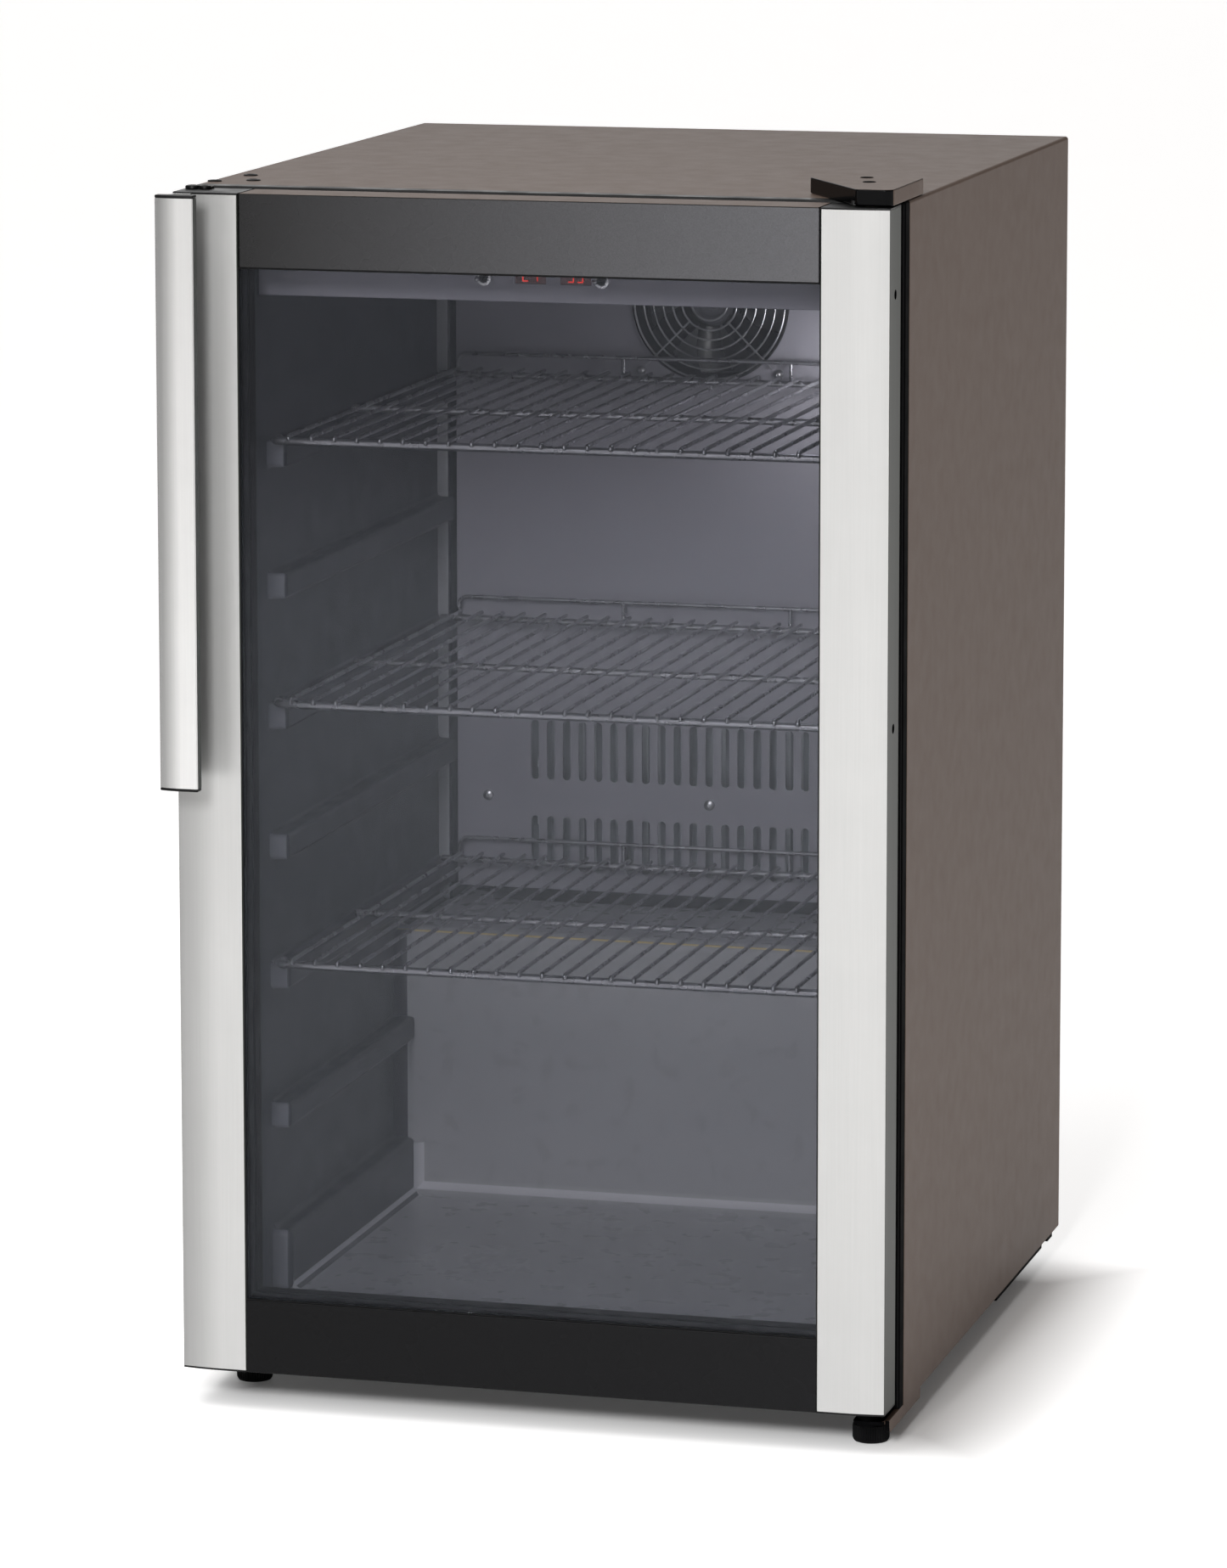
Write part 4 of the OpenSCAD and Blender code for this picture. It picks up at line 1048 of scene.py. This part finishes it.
windows = Form()
digits = Form()
SEGMENTS = {"2": "abged", "3": "abgcd", "4": "fgbc", "5": "afgcd"}


def digit(mark, x, z, y):
    """One seven-segment figure, 3.6 mm wide and 7 mm tall, from its lower left corner."""
    w, h, t = 3.6, 7.0, 0.8
    bars = {"a": (0, h, w, h), "b": (w, h / 2, w, h), "c": (w, 0, w, h / 2), "d": (0, 0, w, 0),
            "e": (0, 0, 0, h / 2), "f": (0, h / 2, 0, h), "g": (0, h / 2, w, h / 2)}
    for name in SEGMENTS[mark]:
        x0, z0, x1, z1 = bars[name]
        grow_x = t / 2 - (0.3 if x0 != x1 else 0)
        grow_z = t / 2 - (0.3 if z0 != z1 else 0)
        digits.box((x + x0 - grow_x, y, z + z0 - grow_z), (x + x1 + grow_x, y + 0.35, z + z1 + grow_z),
                   0.12, 1)


for x, marks in zip(display_x, ("24", "35")):
    windows.box((x - 10.9, window_lo.y, window_lo.z), (x + 10.9, window_hi.y, window_hi.z), 0.5, 2)
    for k, mark in enumerate(marks):
        digit(mark, x - 5.4 + 6.6 * k, window_lo.z + 2, window_lo.y - 0.3)
make("display_lenses", windows, "display_red", "display_windows")
make("display_digits", digits, "digit_red", body="cabinet")

bushings = Form()
for x in switch_x:
    y = panel_lo.y
    bushings.lathe([(2.7, 9), (2.7, -2.7), (3, -3), (3.5, -2.7), (3.5, -1.5), (4.8, -1.5), (5.2, -1.2),
                    (5.2, -0.1), (3.5, -0.1), (3.5, 9)], (x, y, switch_z), Y, 36)
    bushings.box((x - 6, y + 9.1, switch_z - 4), (x + 6, y + 22, switch_z + 4), 0.5, 2)
make("switch_bushings", bushings, "plated_steel", "toggle_bushings")
for side, x in (("left", switch_x[0]), ("right", switch_x[1])):
    lever = Form().lathe([(0, -13.9), (0.9, -13.7), (1.6, -13), (1.75, -12), (1.4, -10), (1, -7.5), (1, -2),
                          (1.6, -1.2), (1.9, 0), (1.4, 1.3), (0, 1.9)], (0, 0, 0), Y, 32)
    lever.turn(Matrix.Rotation(math.radians(-12.5), 4, "Z"))
    lever.turn(Matrix.Translation((x, panel_lo.y + 3, switch_z)))
    make("switch_lever_" + side, lever, "plated_steel", "toggle_lever_" + side)

holder_lo, holder_hi = span("lamp_holder")
lens_lo, lens_hi = span("lamp_lens")
make("lamp_housing", Form().box(holder_lo, holder_hi, 2.5, 4, lambda m: m.z < holder_hi.z - 1),
     "lamp_white", "lamp_holder")
make("lamp_diffuser_lens", Form().box(lens_lo, lens_hi, 2.2, 4), "lamp_diffuser", "lamp_lens")

# ---- compressor bay and back

grille_lo, grille_hi = span("rear_grille")
inlet_lo, inlet_hi = span("mains_inlet")
slots = Form()
hoods = Form()
for row in range(11):
    z = 50 + 15 * row
    for x in (-190, 20):
        slots.prism(plate(x, x + 150, z, z + 6, 2.9), grille_lo.y - 3, grille_hi.y + 3, Y)
        lip = [(grille_hi.y - 0.1, z + 7), (grille_hi.y + 1.3, z + 4.4), (grille_hi.y + 1.7, z + 4.6),
               (grille_hi.y + 1.7, z + 5.4), (grille_hi.y + 0.3, z + 8.4), (grille_hi.y - 0.1, z + 8.4)]
        hoods.prism(lip, x + 1, x + 149, X)
slots.box((inlet_lo.x - 0.2, grille_lo.y - 3, inlet_lo.z - 0.2),
          (inlet_hi.x + 0.2, grille_hi.y + 3, inlet_hi.z + 0.2), 0)
grille = carved(Form().box(grille_lo, grille_hi, 0.2, 1), slots).join(hoods.bm)
make("louvred_grille", grille, "black_paint", "rear_grille")

socket = Form().prism(plate(inlet_lo.x + 3.8, inlet_hi.x - 3.8, inlet_lo.z + 3.8, inlet_hi.z - 3.8, 3),
                      inlet_lo.y + 8, inlet_hi.y + 3, Y)
shell = Form().box(inlet_lo, inlet_hi, 1, 3)
make("inlet_shell", carved(shell, socket), "black_plastic", "mains_inlet")
pins = Form()
inlet_x = (inlet_lo.x + inlet_hi.x) / 2
inlet_z = (inlet_lo.z + inlet_hi.z) / 2
for dx, dz in ((-7, -2), (0, 2), (7, -2)):
    pins.box((inlet_x + dx - 1, inlet_lo.y + 7.5, inlet_z + dz - 2),
             (inlet_x + dx + 1, inlet_hi.y - 3, inlet_z + dz + 2), 0.4, 3)
make("inlet_pins", pins, "plated_steel", body="cabinet")

bay_y = front + 453
can_x, can_z = 95, 21.5
dome = [math.radians(a) for a in range(0, 90, 8)]
shell_profile = [(0, 12)] + arc(50, 30, 18, -90, 0, 8)
shell_profile += [(68, 58), (69.4, 59), (69.6, 61), (69.4, 63), (68, 64)]
shell_profile += [(68 * math.cos(a), 105 + 42 * math.sin(a)) for a in dome]
can = Form().lathe(shell_profile + [(0, 147)], (can_x, bay_y, can_z), Z, 96)
bolt_places = [(can_x + sx * 58, bay_y + sy * 50) for sx in (-1, 1) for sy in (-1, 1)]
for sx in (-1, 1):
    holes = Form()
    for x, y in bolt_places:
        holes.lathe([(6.2, 4), (6.2, 16)], (x, y, can_z), Z, 32)
    base_x = can_x + sx * 55
    base = Form().prism(plate(base_x - 18, base_x + 18, bay_y - 60, bay_y + 60, 8),
                        can_z + 8, can_z + 11.9, Z, r=0.8)
    can.join(carved(base, holes).bm)
can.box((can_x + 66, bay_y - 22, can_z + 40), (can_x + 92, bay_y + 22, can_z + 92), 4, 4)
make("compressor_can", can, "black_paint", "compressor")
mounts = Form()
for x, y in bolt_places:
    mounts.lathe([(0, 0.1), (9.2, 0.1), (10, 0.9), (10, 2), (8.6, 3.2), (8.6, 4.4), (10, 5.6), (10, 7.2),
                  (9.3, 7.9), (6, 7.9), (6, 15.4), (5.4, 16), (0, 16)], (x, y, can_z), Z, 40)
make("rubber_mounts", mounts, "rubber_black", "compressor_mounts")

pipes = Form()
high_z, low_z = 206, 189
drier_y = front + 510
routes = ([(65, bay_y, 169), (65, bay_y, high_z), (-172, bay_y, high_z), (-172, bay_y, low_z)],
          [(-172, drier_y, low_z), (-172, drier_y, high_z), (-119, drier_y, high_z)],
          [(-21, drier_y, high_z), (30, drier_y, high_z), (30, drier_y, 227)],
          [(110, front + 480, 227), (110, front + 480, 212), (110, bay_y, 212), (110, bay_y, 166)])
for route in routes:
    pipes.tube(route, 3, 20, bend=8)
pipes.lathe([(0, 0), (3.6, 0), (4, 3), (8, 7), (9, 10), (9, 90), (8, 93), (4, 97), (3.6, 100), (0, 100)],
            (-120, drier_y, high_z), X, 40)
make("copper_pipes", pipes, "copper_pipe", "refrigerant_pipes")

# Parts that keep their CAD shape get softened edges, and the runners under the sides get the darkest black,
# painted shade under the cabinet.
for node, width in (("base_pan", 0.3), ("base_rails", 0.6), ("evaporator_cover", 0.2),
                    ("condensate_tray", 0.4), ("top_hinge_plate", 0.4),
                    ("evaporator_fan_frame", 0.6), ("condenser_fan_frame", 0.6),
                    ("controller_board", 0.2), ("drain_trough", 0.3)):
    soft = frame["nodes"][node].modifiers.new("softened edges", "BEVEL")
    soft.width = width * MM
    soft.segments = 2
    soft.limit_method = "ANGLE"
    soft.angle_limit = math.radians(40)
runners = frame["nodes"]["base_rails"].data.materials
runners[0] = MATERIALS["painted_shade_black"]
